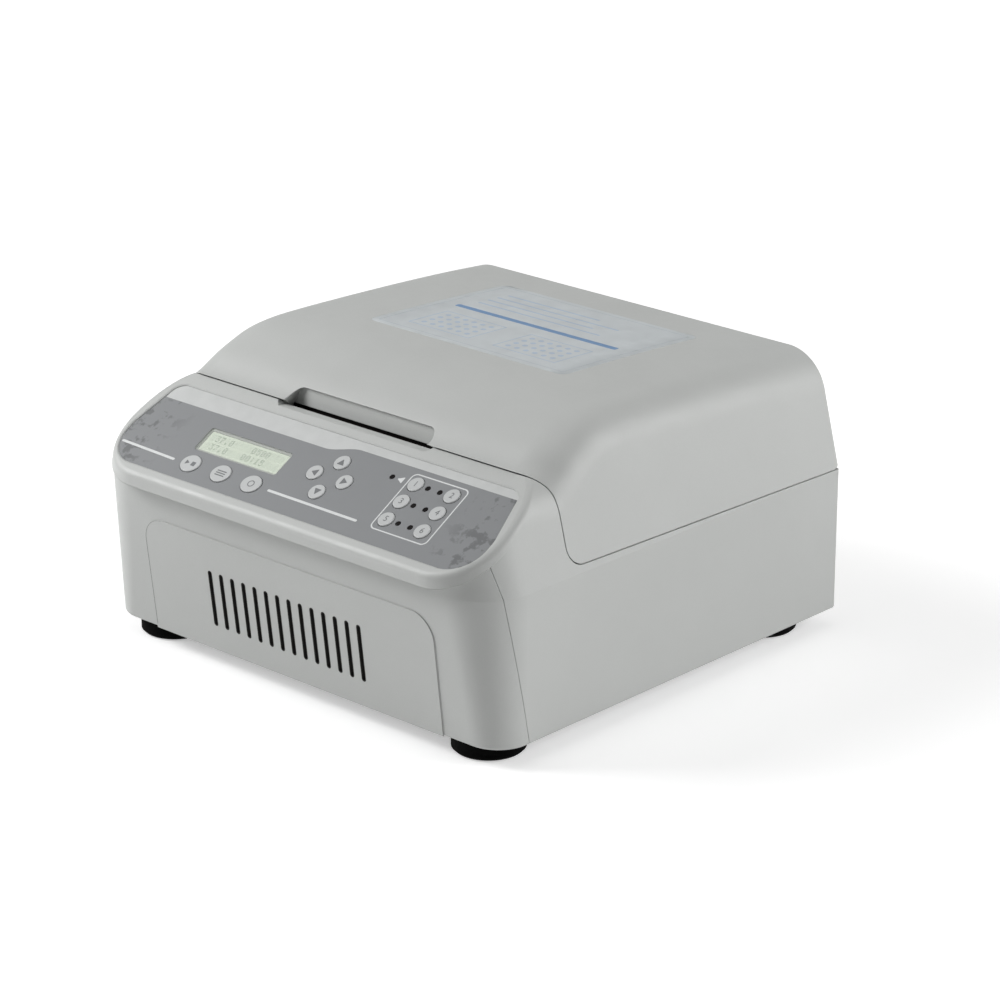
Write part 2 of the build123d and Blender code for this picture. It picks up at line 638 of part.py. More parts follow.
def front_fascia(skin):
    """Vented front moulding with rounded corners and a raised flat panel."""
    fascia = skin & fascia_zone(0)
    face = fascia_face()
    pad_face = make_face(Polyline((-FASCIA_PAD_W / 2, 0), (FASCIA_PAD_W / 2, 0),
                                  (FASCIA_PAD_W / 2, FASCIA_PAD_TOP), (-FASCIA_PAD_W / 2, FASCIA_PAD_TOP),
                                  close=True))
    pad_face = fillet(pad_face.vertices().sort_by(Axis.Y)[2:], FASCIA_PAD_R)
    fascia = fascia + extrude(face * pad_face, FASCIA_PAD_RISE)
    fascia = fascia & block((-FAR, FAR), (-FAR, FAR), (BASE_Z, FAR))
    ledge_y = LIP_Y + FASCIA_SETBACK + WALL
    fascia = fascia + block((-LEDGE_W / 2, LEDGE_W / 2), (ledge_y - WALL / 2, ledge_y + LEDGE_D),
                            (BASE_Z + PLATE_T, BASE_Z + PLATE_T + LEDGE_T))
    middle = VENT_LOW + VENT_H / 2
    slots = []
    for i in range(VENT_COUNT):
        x = VENT_X + (i - (VENT_COUNT - 1) / 2) * VENT_PITCH
        slots.append(Pos(x, middle) * Rot(0, 0, 90) * SlotOverall(VENT_H, VENT_W))
    return fascia - extrude(face * union(slots), 2 * WALL, both=True)


def vent_filter():
    """Foam pad on the inner face of the fascia, behind the vent slots."""
    width = (VENT_COUNT - 1) * VENT_PITCH + VENT_W + 2 * FILTER_MARGIN
    pad = Pos(VENT_X, VENT_LOW + VENT_H / 2) * Rectangle(width, VENT_H + 2 * FILTER_MARGIN)
    inner = WALL * cos(radians(FASCIA_LEAN))
    return extrude(fascia_face() * (Pos(0, 0, -inner - FILTER_T) * pad), FILTER_T)


def base_plate():
    """Sheet floor of the base, inside the mouldings, with holes for the feet's screws."""
    inset = WALL + PLATE_GAP
    plate = base_body(inset, BASE_Z, BASE_Z + PLATE_T)
    for x, y in FEET:
        plate = plate - post(x, y, FOOT_SCREW_R, 0, FAR)
    return plate


# ---------------------------------------------------------------- feet
def foot(x, y):
    body = post(x, y, FOOT_R, 0, BASE_Z)
    body = chamfer(body.edges().group_by(Axis.Z)[0], 1.5)
    body = body - post(x, y, FOOT_RECESS_R, -1, FOOT_RECESS_H)
    return body - post(x, y, FOOT_SCREW_R, 0, BASE_Z + 1)


def foot_screw(x, y):
    head = post(x, y, FOOT_SCREW_HEAD_R, FOOT_RECESS_H - FOOT_SCREW_HEAD_H, FOOT_RECESS_H)
    return head + post(x, y, FOOT_SCREW_R - DRIVE_FIT, FOOT_RECESS_H, BASE_Z + PLATE_T + 2)


# ---------------------------------------------------------------- chamber
def chamber_tray():
    """Pressed pan hung on the deck ledge, with holes for the crank pin and the idlers."""
    w = CHAMBER_W - 2 * TRAY_FIT
    d = CHAMBER_D - 2 * TRAY_FIT
    pan = rounded_box(w, d, TRAY_R - TRAY_FIT, TRAY_FLOOR_Z - TRAY_T, DECK_Z, 0, CHAMBER_Y)
    flange = rounded_box(w + 2 * TRAY_FLANGE, d + 2 * TRAY_FLANGE, TRAY_R + TRAY_FLANGE - TRAY_FIT,
                         DECK_Z, DECK_Z + TRAY_T, 0, CHAMBER_Y)
    inside = rounded_box(w - 2 * TRAY_T, d - 2 * TRAY_T, TRAY_R - TRAY_FIT - TRAY_T, TRAY_FLOOR_Z, FAR,
                         0, CHAMBER_Y)
    tray = pan + flange - inside
    tray = tray - post(*DRIVE, CRANK_PIN_R + ORBIT_R + 2, 0, FAR)
    for x, y in IDLERS:
        tray = tray - post(x, y, IDLER_PIN_R + ORBIT_R + 2, 0, FAR)
    return tray


def chamber_gasket():
    """Moulded seal between the tray's flange and the lid."""
    low = DECK_Z + TRAY_T
    w = CHAMBER_W + TRAY_T
    d = CHAMBER_D + TRAY_T
    outer = rounded_box(w + 2 * GASKET_W, d + 2 * GASKET_W, TRAY_R + GASKET_W, low, low + GASKET_H,
                        0, CHAMBER_Y)
    return outer - rounded_box(w, d, TRAY_R, low - 1, low + GASKET_H + 1, 0, CHAMBER_Y)


# ---------------------------------------------------------------- lid
def lid_shell():
    """Domed outer shell: rolled rear edge with hinge barrels, finger recess at the front."""
    outer = roof_form() & over_seam()
    edge = Pos(0, HINGE_Y, HINGE_Z) * Rot(0, 90, 0) * Cylinder(HINGE_R, WIDTH + WALL)
    barrel = edge & outer
    outer = outer - (block((-FAR, FAR), (HINGE_Y, FAR), (0, HINGE_Z)) - edge)
    inner = roof_form(WALL) - block((-FAR, FAR), (-FAR, SEAM_WALL_Y + WALL), (0, FAR))
    handle_back = SEAM_WALL_Y + HANDLE_BACK + HANDLE_WALL
    half = HANDLE_W / 2 + HANDLE_WALL
    backing = block((-half, half), (-FAR, handle_back), (CREST_Z - 2 * HANDLE_LOW - HANDLE_WALL, FAR))
    lid = outer - (inner - backing)
    lid = lid + barrel
    for side in (-1, 1):
        notch = KNUCKLE_W / 2 + KNUCKLE_GAP
        x = side * HINGE_X
        reach = HINGE_R + KNUCKLE_CLEAR
        lid = lid - block((x - notch, x + notch), (HINGE_Y - reach, FAR), (0, HINGE_Z + reach))
        lid = lid - hinge_bore(x)
    low = CREST_Z - HANDLE_LOW
    wall_y = SEAM_WALL_Y + HANDLE_BACK
    foot_half = HANDLE_W / 2 + HANDLE_FLARE
    outline = make_face(Polyline((-foot_half, 0), (foot_half, 0), (HANDLE_W / 2, HANDLE_H),
                                 (-HANDLE_W / 2, HANDLE_H), close=True))
    outline = fillet(outline.vertices().sort_by(Axis.Y)[2:], HANDLE_R)
    mouth = extrude(Plane(origin=(0, 0, low), x_dir=(1, 0, 0), z_dir=(0, -1, 0)) * outline, DEPTH, both=True)
    top_y = wall_y + HANDLE_H * tan(radians(HANDLE_LEAN))
    ahead = side_profile([(-FAR, low), (wall_y, low), (top_y, low + HANDLE_H), (-FAR, low + HANDLE_H)])
    lid = lid - (mouth & across(ahead))
    lid = lid - block((-foot_half, foot_half), (-FAR, wall_y), (low - 2 * HANDLE_LOW, low + 1))
    lid = lid - block((-SLOT_W / 2, SLOT_W / 2), (-FAR, wall_y + SLOT_BACK), (low - 2 * HANDLE_LOW, low))
    for x in (-LID_BOSS_X, LID_BOSS_X):
        for y in (-LID_BOSS_Y, LID_BOSS_Y):
            boss = post(x, CHAMBER_Y + y, LID_BOSS_R, LINER_TOP_Z, FAR) & inner
            lid = lid + boss - post(x, CHAMBER_Y + y, LID_SCREW_R, 0, LINER_TOP_Z + 8)
    return lid


def lid_liner():
    """Inner pan of the lid; its flange closes on the gasket."""
    low = DECK_Z + TRAY_T + GASKET_H + LINER_GAP
    w = CHAMBER_W - 2 * LINER_INSET
    d = CHAMBER_D - 2 * LINER_INSET
    pan = rounded_box(w, d, LINER_R, low, LINER_TOP_Z, 0, CHAMBER_Y)
    flange_w = CHAMBER_W + 2 * LEDGE - 2
    flange_d = CHAMBER_D + 2 * LEDGE - 2
    flange = rounded_box(flange_w, flange_d, TRAY_R + LEDGE - 1, low, low + LINER_T, 0, CHAMBER_Y)
    inside = rounded_box(w - 2 * LINER_T, d - 2 * LINER_T, LINER_R - LINER_T, low - 1, LINER_TOP_Z - LINER_T,
                         0, CHAMBER_Y)
    liner = pan + flange - inside
    for x in (-LID_BOSS_X, LID_BOSS_X):
        for y in (-LID_BOSS_Y, LID_BOSS_Y):
            liner = liner - post(x, CHAMBER_Y + y, LID_SCREW_R, 0, FAR)
    return liner


def lid_screws():
    """Pan-head screws that hold the liner to the shell's bosses."""
    screws = []
    for x in (-LID_BOSS_X, LID_BOSS_X):
        for y in (-LID_BOSS_Y, LID_BOSS_Y):
            seat = LINER_TOP_Z - LINER_T
            head = post(x, CHAMBER_Y + y, 2 * LID_SCREW_R, seat - 2, seat)
            screws.append(head + post(x, CHAMBER_Y + y, LID_SCREW_R - DRIVE_FIT, seat, LINER_TOP_Z + 7))
    return screws


def lid_heater():
    """Foil heater on the back of the liner, clear of the bosses."""
    return rounded_box(2 * (LID_BOSS_X - LID_BOSS_R) - 10, CHAMBER_D - 4 * LINER_R, LINER_R,
                       LINER_TOP_Z, LINER_TOP_Z + HEATER_T, 0, CHAMBER_Y)


def hinge_pins():
    r = HINGE_PIN_R
    return [Pos(side * HINGE_X, HINGE_Y, HINGE_Z) * Rot(0, 90, 0) * Cylinder(r, HINGE_PIN_L - 1)
            for side in (-1, 1)]


# ---------------------------------------------------------------- orbital drive
def drive_frame():
    """Cast plate on four posts, with bearing bosses for the crank and the idlers."""
    frame = rounded_box(FRAME_W, FRAME_D, TRAY_R, FRAME_Z, FRAME_Z + FRAME_T, 0, CHAMBER_Y)
    crank_low = FRAME_TOP_Z - 3 * BEARING_BIG[1]
    idler_low = FRAME_TOP_Z - 2 * BEARING_SMALL[1]
    frame = frame + post(*DRIVE, BEARING_BIG[0] + FRAME_BOSS_WALL, crank_low, FRAME_TOP_Z)
    for x, y in IDLERS:
        frame = frame + post(x, y, BEARING_SMALL[0] + FRAME_BOSS_WALL, idler_low, FRAME_TOP_Z)
    for x in (-FRAME_POST_X, FRAME_POST_X):
        for y in (-FRAME_POST_Y, FRAME_POST_Y):
            frame = frame + post(x, CHAMBER_Y + y, FRAME_POST_R, BASE_Z + PLATE_T, FRAME_Z)
    frame = frame - post(*DRIVE, BEARING_BIG[0], crank_low - 1, FAR)
    for x, y in IDLERS:
        frame = frame - post(x, y, BEARING_SMALL[0], idler_low - 1, FAR)
    return frame


def bearing(x, y, size, bore, low):
    """Ball bearing with a grooved face, as one closed ring."""
    outer, width = size
    race = ring(x, y, outer, bore, low, low + width)
    groove = ring(x, y, outer - 0.22 * (outer - bore), bore + 0.22 * (outer - bore),
                  low + width - 0.6, low + width + 1)
    return race - groove


def frame_bearings():
    """Two bearings on the crank shaft and one at each idler, all held in the drive frame."""
    size, small = BEARING_BIG, BEARING_SMALL
    bore = CRANK_SHAFT_R + DRIVE_FIT
    top = bearing(*DRIVE, size, bore, FRAME_TOP_Z - size[1])
    bottom = bearing(*DRIVE, size, bore, FRAME_TOP_Z - 3 * size[1])
    idle = [bearing(x, y, small, IDLER_SHAFT_R + DRIVE_FIT, FRAME_TOP_Z - small[1]) for x, y in IDLERS]
    return [top, bottom] + idle


def crankshaft():
    """Main shaft, web and the eccentric pin that carries the platform."""
    web_low = FRAME_TOP_Z + WEB_GAP
    shaft = post(*DRIVE, CRANK_SHAFT_R, PULLEY_Z, web_low)
    web = post(*DRIVE, CRANK_WEB_R, web_low, web_low + WEB_T)
    pin = post(*PIN, CRANK_PIN_R, web_low + WEB_T, CARRIER_Z - WEB_GAP)
    return shaft + web + pin


def balance_weight():
    """Half ring opposite the pin."""
    low = FRAME_TOP_Z + WEB_GAP
    full = ring(*DRIVE, WEIGHT_R, CRANK_WEB_R, low, low + WEB_T)
    return full & block((-FAR, -ORBIT_R), (-FAR, FAR), (0, FAR))


def pulley(x, y, teeth, bore, low):
    """Toothed belt pulley with two flanges."""
    r = teeth * BELT_PITCH / (2 * pi)
    gullets = [Pos(x + r * cos(2 * pi * i / teeth), y + r * sin(2 * pi * i / teeth)) * Circle(BELT_PITCH / 4)
               for i in range(teeth)]
    section = Pos(x, y) * Circle(r) - gullets
    body = extrude(Pos(0, 0, low + FLANGE_T) * section, PULLEY_W - 2 * FLANGE_T)
    flange = post(x, y, r + FLANGE_RISE, low, low + FLANGE_T)
    body = body + flange + Pos(0, 0, PULLEY_W - FLANGE_T) * flange
    return body - post(x, y, bore, low - 1, low + PULLEY_W + 1)


def drive_belt():
    """Closed belt around both pulleys, running between their flanges."""
    fit = 0.2
    low = PULLEY_Z + FLANGE_T + fit
    high = PULLEY_Z + PULLEY_W - FLANGE_T - fit

    def loop(grow):
        ends = (Pos(0, CHAMBER_Y) * Circle(CRANK_PULLEY_R + grow),
                Pos(0, MOTOR_Y) * Circle(MOTOR_PULLEY_R + grow))
        return make_hull(ends[0].edges() + ends[1].edges())

    belt = loop(BELT_FIT + BELT_T) - loop(BELT_FIT)
    return extrude(Pos(0, 0, low) * belt, high - low)


def idler(x, y):
    """Small crank with the same throw as the main one; keeps the platform square."""
    low = FRAME_TOP_Z - BEARING_SMALL[1] - 2
    web_low = FRAME_TOP_Z + WEB_GAP
    shaft = post(x, y, IDLER_SHAFT_R, low, web_low)
    web = post(x, y, 2 * IDLER_SHAFT_R, web_low, web_low + WEB_T)
    pin = post(x + ORBIT_R, y, IDLER_PIN_R, web_low + WEB_T, CARRIER_Z - WEB_GAP)
    return shaft + web + pin


# ---------------------------------------------------------------- platform
def platform_carrier():
    """Cast plate with a hub for the crank bearing and sockets for the idler bushes."""
    x, y = PIN
    plate = rounded_box(PLATFORM_W, PLATFORM_D, TRAY_R, CARRIER_Z, CARRIER_Z + CARRIER_T, x, y)
    plate = plate + post(x, y, HUB_R, HUB_LOW, CARRIER_Z)
    plate = plate - post(x, y, BEARING_SMALL[0], HUB_LOW - 1, CARRIER_Z)
    for px, py in IDLERS:
        plate = plate + post(px + ORBIT_R, py, BUSH_R + 3, BUSH_LOW, CARRIER_Z)
        plate = plate - post(px + ORBIT_R, py, BUSH_R, BUSH_LOW - 1, CARRIER_Z)
    return plate


def platform_bearing():
    return bearing(*PIN, BEARING_SMALL, CRANK_PIN_R + DRIVE_FIT, HUB_LOW)


def idler_bushes():
    return [ring(x + ORBIT_R, y, BUSH_R, IDLER_PIN_R + DRIVE_FIT, BUSH_LOW, CARRIER_Z) for x, y in IDLERS]


def heater_mat():
    x, y = PIN
    return rounded_box(PLATFORM_W - 6, PLATFORM_D - 6, TRAY_R, CARRIER_Z + CARRIER_T,
                       CARRIER_Z + CARRIER_T + HEATER_T, x, y)


def platform_block():
    """Aluminium block with a shallow nest for each microplate."""
    x, y = PIN
    low = CARRIER_Z + CARRIER_T + HEATER_T
    top = low + BLOCK_T
    body = rounded_box(PLATFORM_W, PLATFORM_D, TRAY_R, low, top, x, y)
    body = chamfer(body.edges().group_by(Axis.Z)[-1], 0.8)
    for side in (-1, 1):
        nx = x + side * NEST_PITCH / 2
        body = body - rounded_box(SBS_WIDTH + 2 * NEST_FIT, SBS_LENGTH + 2 * NEST_FIT, NEST_R,
                                  top - NEST_DEPTH, top + 1, nx, y)
    return body


# ---------------------------------------------------------------- motor
def motor_bracket():
    """Folded channel that carries the motor over the belt."""
    low = BASE_Z + PLATE_T
    outer = block((-BRACKET_W / 2, BRACKET_W / 2), (MOTOR_Y - BRACKET_D / 2, MOTOR_Y + BRACKET_D / 2),
                  (low, BRACKET_Z + BRACKET_T))
    inner = block((-BRACKET_W / 2 + BRACKET_T, BRACKET_W / 2 - BRACKET_T), (-FAR, FAR), (0, BRACKET_Z))
    bracket = outer - inner
    for side in (-1, 1):
        edge = side * BRACKET_W / 2
        foot_x = sorted((edge, edge + side * 12))
        bracket = bracket + block(foot_x, (MOTOR_Y - BRACKET_D / 2, MOTOR_Y + BRACKET_D / 2),
                                  (low, low + BRACKET_T))
    return bracket - post(0, MOTOR_Y, MOTOR_R / 2 + 1, 0, FAR)


def motor_body():
    low = BRACKET_Z + BRACKET_T
    can = post(0, MOTOR_Y, MOTOR_R, low, low + MOTOR_H)
    can = fillet(can.edges().group_by(Axis.Z)[-1], 2)
    can = can + post(0, MOTOR_Y, MOTOR_R / 2, BRACKET_Z, low)
    return can - post(0, MOTOR_Y, MOTOR_SHAFT_R + DRIVE_FIT, 0, low + MOTOR_H - 4)


def motor_shaft():
    return post(0, MOTOR_Y, MOTOR_SHAFT_R, PULLEY_Z, BRACKET_Z + BRACKET_T + MOTOR_H - 5)


# ---------------------------------------------------------------- control panel
def membrane_overlay():
    """Printed overlay, with openings for the keys, lamps and display window."""
    sheet = overlay_outline() - key_openings() - lcd_outline(OVERLAY_GAP)
    return panel_prism(sheet, OVERLAY_BACK, OVERLAY_FACE)


def lcd_window():
    return panel_prism(lcd_outline(), OVERLAY_BACK, OVERLAY_FACE)


def display_module():
    """Display with its metal bezel and circuit board, under its opening in the cover."""
    top = COVER_BACK
    bezel = panel_prism(Pos(LCD_X, LCD_S) * Rectangle(LCD_W + 2 * LCD_BEZEL[0], LCD_H + 2 * LCD_BEZEL[1]),
                        top - LCD_BEZEL[2], top)
    glass = panel_prism(lcd_outline(-LCD_LEDGE - KEY_FIT), top, OVERLAY_BACK - KEY_FIT)
    return bezel + glass


def status_lamps():
    return [panel_prism(Pos(x, s) * Circle(LED_R), BOARD_TOP, OVERLAY_FACE) for x, s in LEDS]


def key(x, s, outline):
    """A key cap with a retaining flange under the cover."""
    high = OVERLAY_FACE + KEY_RISE
    cap = panel_prism(Pos(x, s) * outline(0.0), FLANGE_TOP, high)
    cap = chamfer(cap.edges().sort_by(Axis(RIM_PLANE.origin, PANEL_NORMAL))[-1], 0.3)
    flange = panel_prism(Pos(x, s) * outline(KEY_FLANGE), FLANGE_TOP - KEY_FLANGE_T, FLANGE_TOP)
    return cap + flange


def control_board():
    """Board behind the panel, with a hole for the display."""
    board = Rectangle(2 * OVERLAY_UP_X, 2 * OVERLAY_TOP - 8)
    board = board - Pos(LCD_X, LCD_S) * Rectangle(LCD_W + 2 * LCD_BEZEL[0] + 2, LCD_H + 2 * LCD_BEZEL[1] + 2)
    return panel_prism(board, BOARD_TOP - BOARD_T, BOARD_TOP)


def tact_switches():
    side, height = SWITCH
    return [panel_prism(Pos(x, s) * Rectangle(side, side), BOARD_TOP, BOARD_TOP + height)
            for x, s, _ in KEYS.values()]


# ---------------------------------------------------------------- rear services
def mains_inlet():
    """Appliance inlet with a fuse bay below it, its flange behind the rear wall."""
    fit = 2 * SHELL_GAP
    body = rear_prism(RectangleRounded(INLET_W - fit, INLET_H - fit, 1), INLET_X, INLET_Z, INLET_DEPTH)
    body = body + rear_prism(RectangleRounded(FUSE_W - fit, FUSE_H - fit, 1), INLET_X, FUSE_Z, INLET_DEPTH)
    flange_h = INLET_Z - FUSE_Z + (INLET_H + FUSE_H) / 2 + 2 * INLET_FLANGE
    flange_z = (INLET_Z + INLET_H / 2 + FUSE_Z - FUSE_H / 2) / 2
    flange_face = RectangleRounded(INLET_W + 2 * INLET_FLANGE, flange_h, 1)
    flange = rear_prism(flange_face, INLET_X, flange_z, INLET_DEPTH)
    body = body + flange - block((-FAR, FAR), (REAR_Y - WALL, FAR), (0, FAR)) + (
        body & block((-FAR, FAR), (REAR_Y - WALL, FAR), (0, FAR)))
    w, h, cut = INLET_MOUTH
    mouth = make_face(Polyline((-w / 2, -h / 2), (w / 2, -h / 2), (w / 2, h / 2 - cut), (w / 2 - cut, h / 2),
                               (cut - w / 2, h / 2), (-w / 2, h / 2 - cut), close=True))
    floor = INLET_DEPTH - INLET_FLOOR
    body = body - rear_prism(mouth, INLET_X, INLET_Z, floor, 1)
    for dx, dz in BLADE_PLACES:
        blade = rear_prism(Pos(dx, dz) * Rectangle(*BLADE), INLET_X, INLET_Z, floor + 1)
        body = body + (blade - block((-FAR, FAR), (REAR_Y - BLADE_SHY, FAR), (0, FAR)))
    bay = RectangleRounded(FUSE_W - fit - 2 * FUSE_WALL, FUSE_H - fit - 2 * FUSE_WALL, 0.5)
    return body - rear_prism(bay, INLET_X, FUSE_Z, floor, 1)


def fuse_drawer():
    """Drawer that closes the fuse bay, with a finger notch in its face."""
    fit = 2 * SHELL_GAP
    w = FUSE_W - fit - 2 * FUSE_WALL - fit
    h = FUSE_H - fit - 2 * FUSE_WALL - fit
    floor = INLET_DEPTH - INLET_FLOOR
    drawer = rear_prism(RectangleRounded(w, h, 0.5), INLET_X, FUSE_Z, floor - 1)
    return drawer - rear_prism(Rectangle(w / 4, h / 3), INLET_X, FUSE_Z - h / 3, 2, 1)


def rocker_frame():
    """Snap-in frame of the power switch, with an open front for the rocker."""
    fit = 2 * SHELL_GAP
    body = rear_prism(RectangleRounded(ROCKER_W - fit, ROCKER_H - fit, 1), ROCKER_X, INLET_Z, ROCKER_DEPTH)
    bezel = rear_prism(rocker_bezel(), ROCKER_X, INLET_Z, BEZEL_T)
    well = RectangleRounded(ROCKER_W - fit - 2 * BEZEL_T, ROCKER_H - fit - 2 * BEZEL_T, 0.5)
    body = body + bezel - rear_prism(well, ROCKER_X, INLET_Z, ROCKER_DEPTH - BEZEL_T, BEZEL_T + 1)
    reach = ROCKER_HEIGHT / 2 + ROCKER_PIN_OUT + DRIVE_FIT
    return body - post(ROCKER_X, ROCKER_Y, ROCKER_PIN_R + DRIVE_FIT, INLET_Z - reach, INLET_Z + reach)


def rocker():
    """Rocker of the power switch in its off position: two faces meeting in a valley."""
    fit = 2 * SHELL_GAP
    half = (ROCKER_W - fit) / 2 - BEZEL_T - ROCKER_END
    drop = half * tan(radians(ROCKER_TILT))
    top = ROCKER_PIVOT
    points = [(-half, top), (0, top - drop), (half, top), (half - ROCKER_END, -top),
              (ROCKER_END - half, -top)]
    body = extrude(make_face(Polyline(*points, close=True)), ROCKER_HEIGHT)
    body = Pos(ROCKER_X, ROCKER_Y, INLET_Z - ROCKER_HEIGHT / 2) * Rot(0, 0, ROCKER_TILT) * body
    reach = ROCKER_HEIGHT / 2 + ROCKER_PIN_OUT
    return body + post(ROCKER_X, ROCKER_Y, ROCKER_PIN_R, INLET_Z - reach, INLET_Z + reach)


def fan_place(sketch, low, high):
    """Extrude a sketch on the fan's axis; levels run inward from the rear wall."""
    return rear_prism(sketch, FAN_X, FAN_Z, WALL + high) & block(
        (-FAR, FAR), (-FAR, REAR_Y - WALL - low), (0, FAR))


def fan_housing():
    """Square axial fan frame with a motor seat on three struts."""
    frame = RectangleRounded(FAN_SIZE, FAN_SIZE, 4) - Circle(FAN_BORE_R)
    hole = FAN_SIZE / 2 - 5
    for x in (-hole, hole):
        for z in (-hole, hole):
            frame = frame - Pos(x, z) * Circle(2.2)
    housing = fan_place(frame, 0, FAN_T)
    seat = Circle(FAN_HUB_R)
    for i in range(3):
        seat = seat + Rot(0, 0, 120 * i) * (Pos(FAN_BORE_R / 2, 0) * Rectangle(FAN_BORE_R + 1, 3))
    return housing + fan_place(seat, FAN_T - 3, FAN_T)


def fan_rotor():
    """Hub and swept blades."""
    low, high = 1.5, FAN_T - 4
    hub = fan_place(Circle(FAN_HUB_R), low, high)
    reach = FAN_BORE_R - 1.2
    blade = Pos((FAN_HUB_R + reach) / 2 - 1, 0, 0) * Rot(32, 0, 0) * Box(
        reach - FAN_HUB_R + 2, (high - low) * 0.9, 1.4)
    middle = REAR_Y - WALL - (low + high) / 2
    turn = Pos(FAN_X, middle, FAN_Z) * Rot(90, 0, 0)
    tip = turn * Cylinder(reach, high - low)
    for i in range(FAN_BLADES):
        hub = hub + ((turn * Rot(0, 0, 360 * i / FAN_BLADES) * blade) & tip)
    return hub


def power_board():
    """Power supply board on four pillars, with its larger components."""
    x, y = SUPPLY_X, SUPPLY_Y
    low = BASE_Z + PLATE_T + SUPPLY_RISE
    w, d = SUPPLY_SIZE
    inset, radius = SUPPLY_PILLAR
    board = rounded_box(w, d, BOARD_T, low, low + BOARD_T, x, y)
    for px in (x - w / 2 + inset, x + w / 2 - inset):
        for py in (y - d / 2 + inset, y + d / 2 - inset):
            board = board + post(px, py, radius, BASE_Z + PLATE_T, low)
    return board


def supply_parts():
    """Transformer, capacitors and heat sink of the power supply."""
    x, y = SUPPLY_X, SUPPLY_Y
    low = BASE_Z + PLATE_T + SUPPLY_RISE + BOARD_T
    boxes = []
    for (w, d, h), step in ((TRANSFORMER, SUPPLY_STEPS[0]), (HEAT_SINK, SUPPLY_STEPS[2])):
        boxes.append(block((x - w / 2, x + w / 2), (y + step - d / 2, y + step + d / 2), (low, low + h)))
    radius, height = CAPACITOR
    cans = [post(x + dx, y + SUPPLY_STEPS[1], radius, low, low + height)
            for dx in (-CAPACITOR_X, CAPACITOR_X)]
    return boxes + cans


# ---------------------------------------------------------------- assembly
def solids_of(shape):
    """Every solid in a part or a list of parts."""
    parts = shape if isinstance(shape, list) else [shape]
    return [solid for part in parts for solid in part.solids()]


def assembly():
    """Every node of the mixer: name -> part or list of parts."""
    skin = base_shell()
    nodes = {
        "base_cover": base_cover(skin),
        "front_fascia": front_fascia(skin),
        "vent_filter": vent_filter(),
        "base_plate": base_plate(),
        "feet": [foot(x, y) for x, y in FEET],
        "foot_screws": [foot_screw(x, y) for x, y in FEET],
        "membrane_overlay": membrane_overlay(),
        "display_window": lcd_window(),
        "display_module": display_module(),
        "status_lamps": status_lamps(),
        "control_board": control_board(),
        "tact_switches": tact_switches(),
        "chamber_tray": chamber_tray(),
        "chamber_gasket": chamber_gasket(),
        "drive_frame": drive_frame(),
        "frame_bearings": frame_bearings(),
        "crankshaft": crankshaft(),
        "balance_weight": balance_weight(),
        "crank_pulley": pulley(*DRIVE, CRANK_TEETH, CRANK_SHAFT_R, PULLEY_Z),
        "drive_belt": drive_belt(),
        "platform_carrier": platform_carrier(),
        "platform_bearing": platform_bearing(),
        "idler_bushes": idler_bushes(),
        "platform_heater": heater_mat(),
        "platform_block": platform_block(),
        "motor_bracket": motor_bracket(),
        "drive_motor": motor_body(),
        "motor_shaft": motor_shaft(),
        "motor_pulley": pulley(0, MOTOR_Y, MOTOR_TEETH, MOTOR_SHAFT_R, PULLEY_Z),
        "lid_shell": lid_shell(),
        "lid_liner": lid_liner(),
        "lid_heater": lid_heater(),
        "lid_screws": lid_screws(),
        "hinge_pins": hinge_pins(),
        "mains_inlet": mains_inlet(),
        "fuse_drawer": fuse_drawer(),
        "rocker_frame": rocker_frame(),
        "power_rocker": rocker(),
        "fan_housing": fan_housing(),
        "fan_rotor": fan_rotor(),
        "power_board": power_board(),
        "supply_parts": supply_parts(),
    }
    for number, (x, y) in enumerate(IDLERS, 1):
        nodes[f"idler_crank_{number}"] = idler(x, y)
    for name, (x, s, outline) in KEYS.items():
        nodes[name] = key(x, s, outline)
    return nodes


os.makedirs("parts", exist_ok=True)
for node, shape in assembly().items():
    export_step(Compound(children=solids_of(shape), label=node), f"parts/{node}.step")
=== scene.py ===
from math import cos, pi, radians, sin, sqrt, tan

import bmesh
import bpy
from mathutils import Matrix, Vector
from mathutils.bvhtree import BVHTree


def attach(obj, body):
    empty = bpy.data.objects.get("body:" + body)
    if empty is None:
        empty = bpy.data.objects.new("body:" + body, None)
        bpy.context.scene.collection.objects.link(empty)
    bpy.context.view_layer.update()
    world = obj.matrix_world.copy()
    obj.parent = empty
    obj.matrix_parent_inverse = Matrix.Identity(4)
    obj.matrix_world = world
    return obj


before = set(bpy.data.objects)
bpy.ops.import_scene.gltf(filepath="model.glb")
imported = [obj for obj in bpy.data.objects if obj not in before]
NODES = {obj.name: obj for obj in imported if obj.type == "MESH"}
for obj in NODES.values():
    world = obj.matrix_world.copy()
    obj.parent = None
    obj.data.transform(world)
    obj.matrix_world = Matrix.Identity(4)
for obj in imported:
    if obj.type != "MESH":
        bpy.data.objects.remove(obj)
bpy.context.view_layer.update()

MM = 0.001

# ---------------------------------------------------------------- places on the object, in mm
PANEL_TILT = radians(30.4)
PANEL_Y = -117.0                     # middle of the control panel
PANEL_LIP = (-148.5, 106.3)          # rim plane over the front of the lip
OVERLAY_LEVEL = -0.8                 # face of the overlay below the rim plane
KEY_LEVEL = -0.2                     # top of the keys
GLASS_LEVEL = -1.9                   # face of the display under its window
INK = 0.04                           # thickness of print
PANEL_Z = PANEL_LIP[1] + (PANEL_Y - PANEL_LIP[0]) * tan(PANEL_TILT)


def on_panel(u, v, w):
    """Panel coordinates (across, up the slope, along the normal) in mm to a point in metres."""
    y = PANEL_Y + v * cos(PANEL_TILT) - w * sin(PANEL_TILT)
    z = PANEL_Z + v * sin(PANEL_TILT) + w * cos(PANEL_TILT)
    return Vector((u, y, z)) * MM


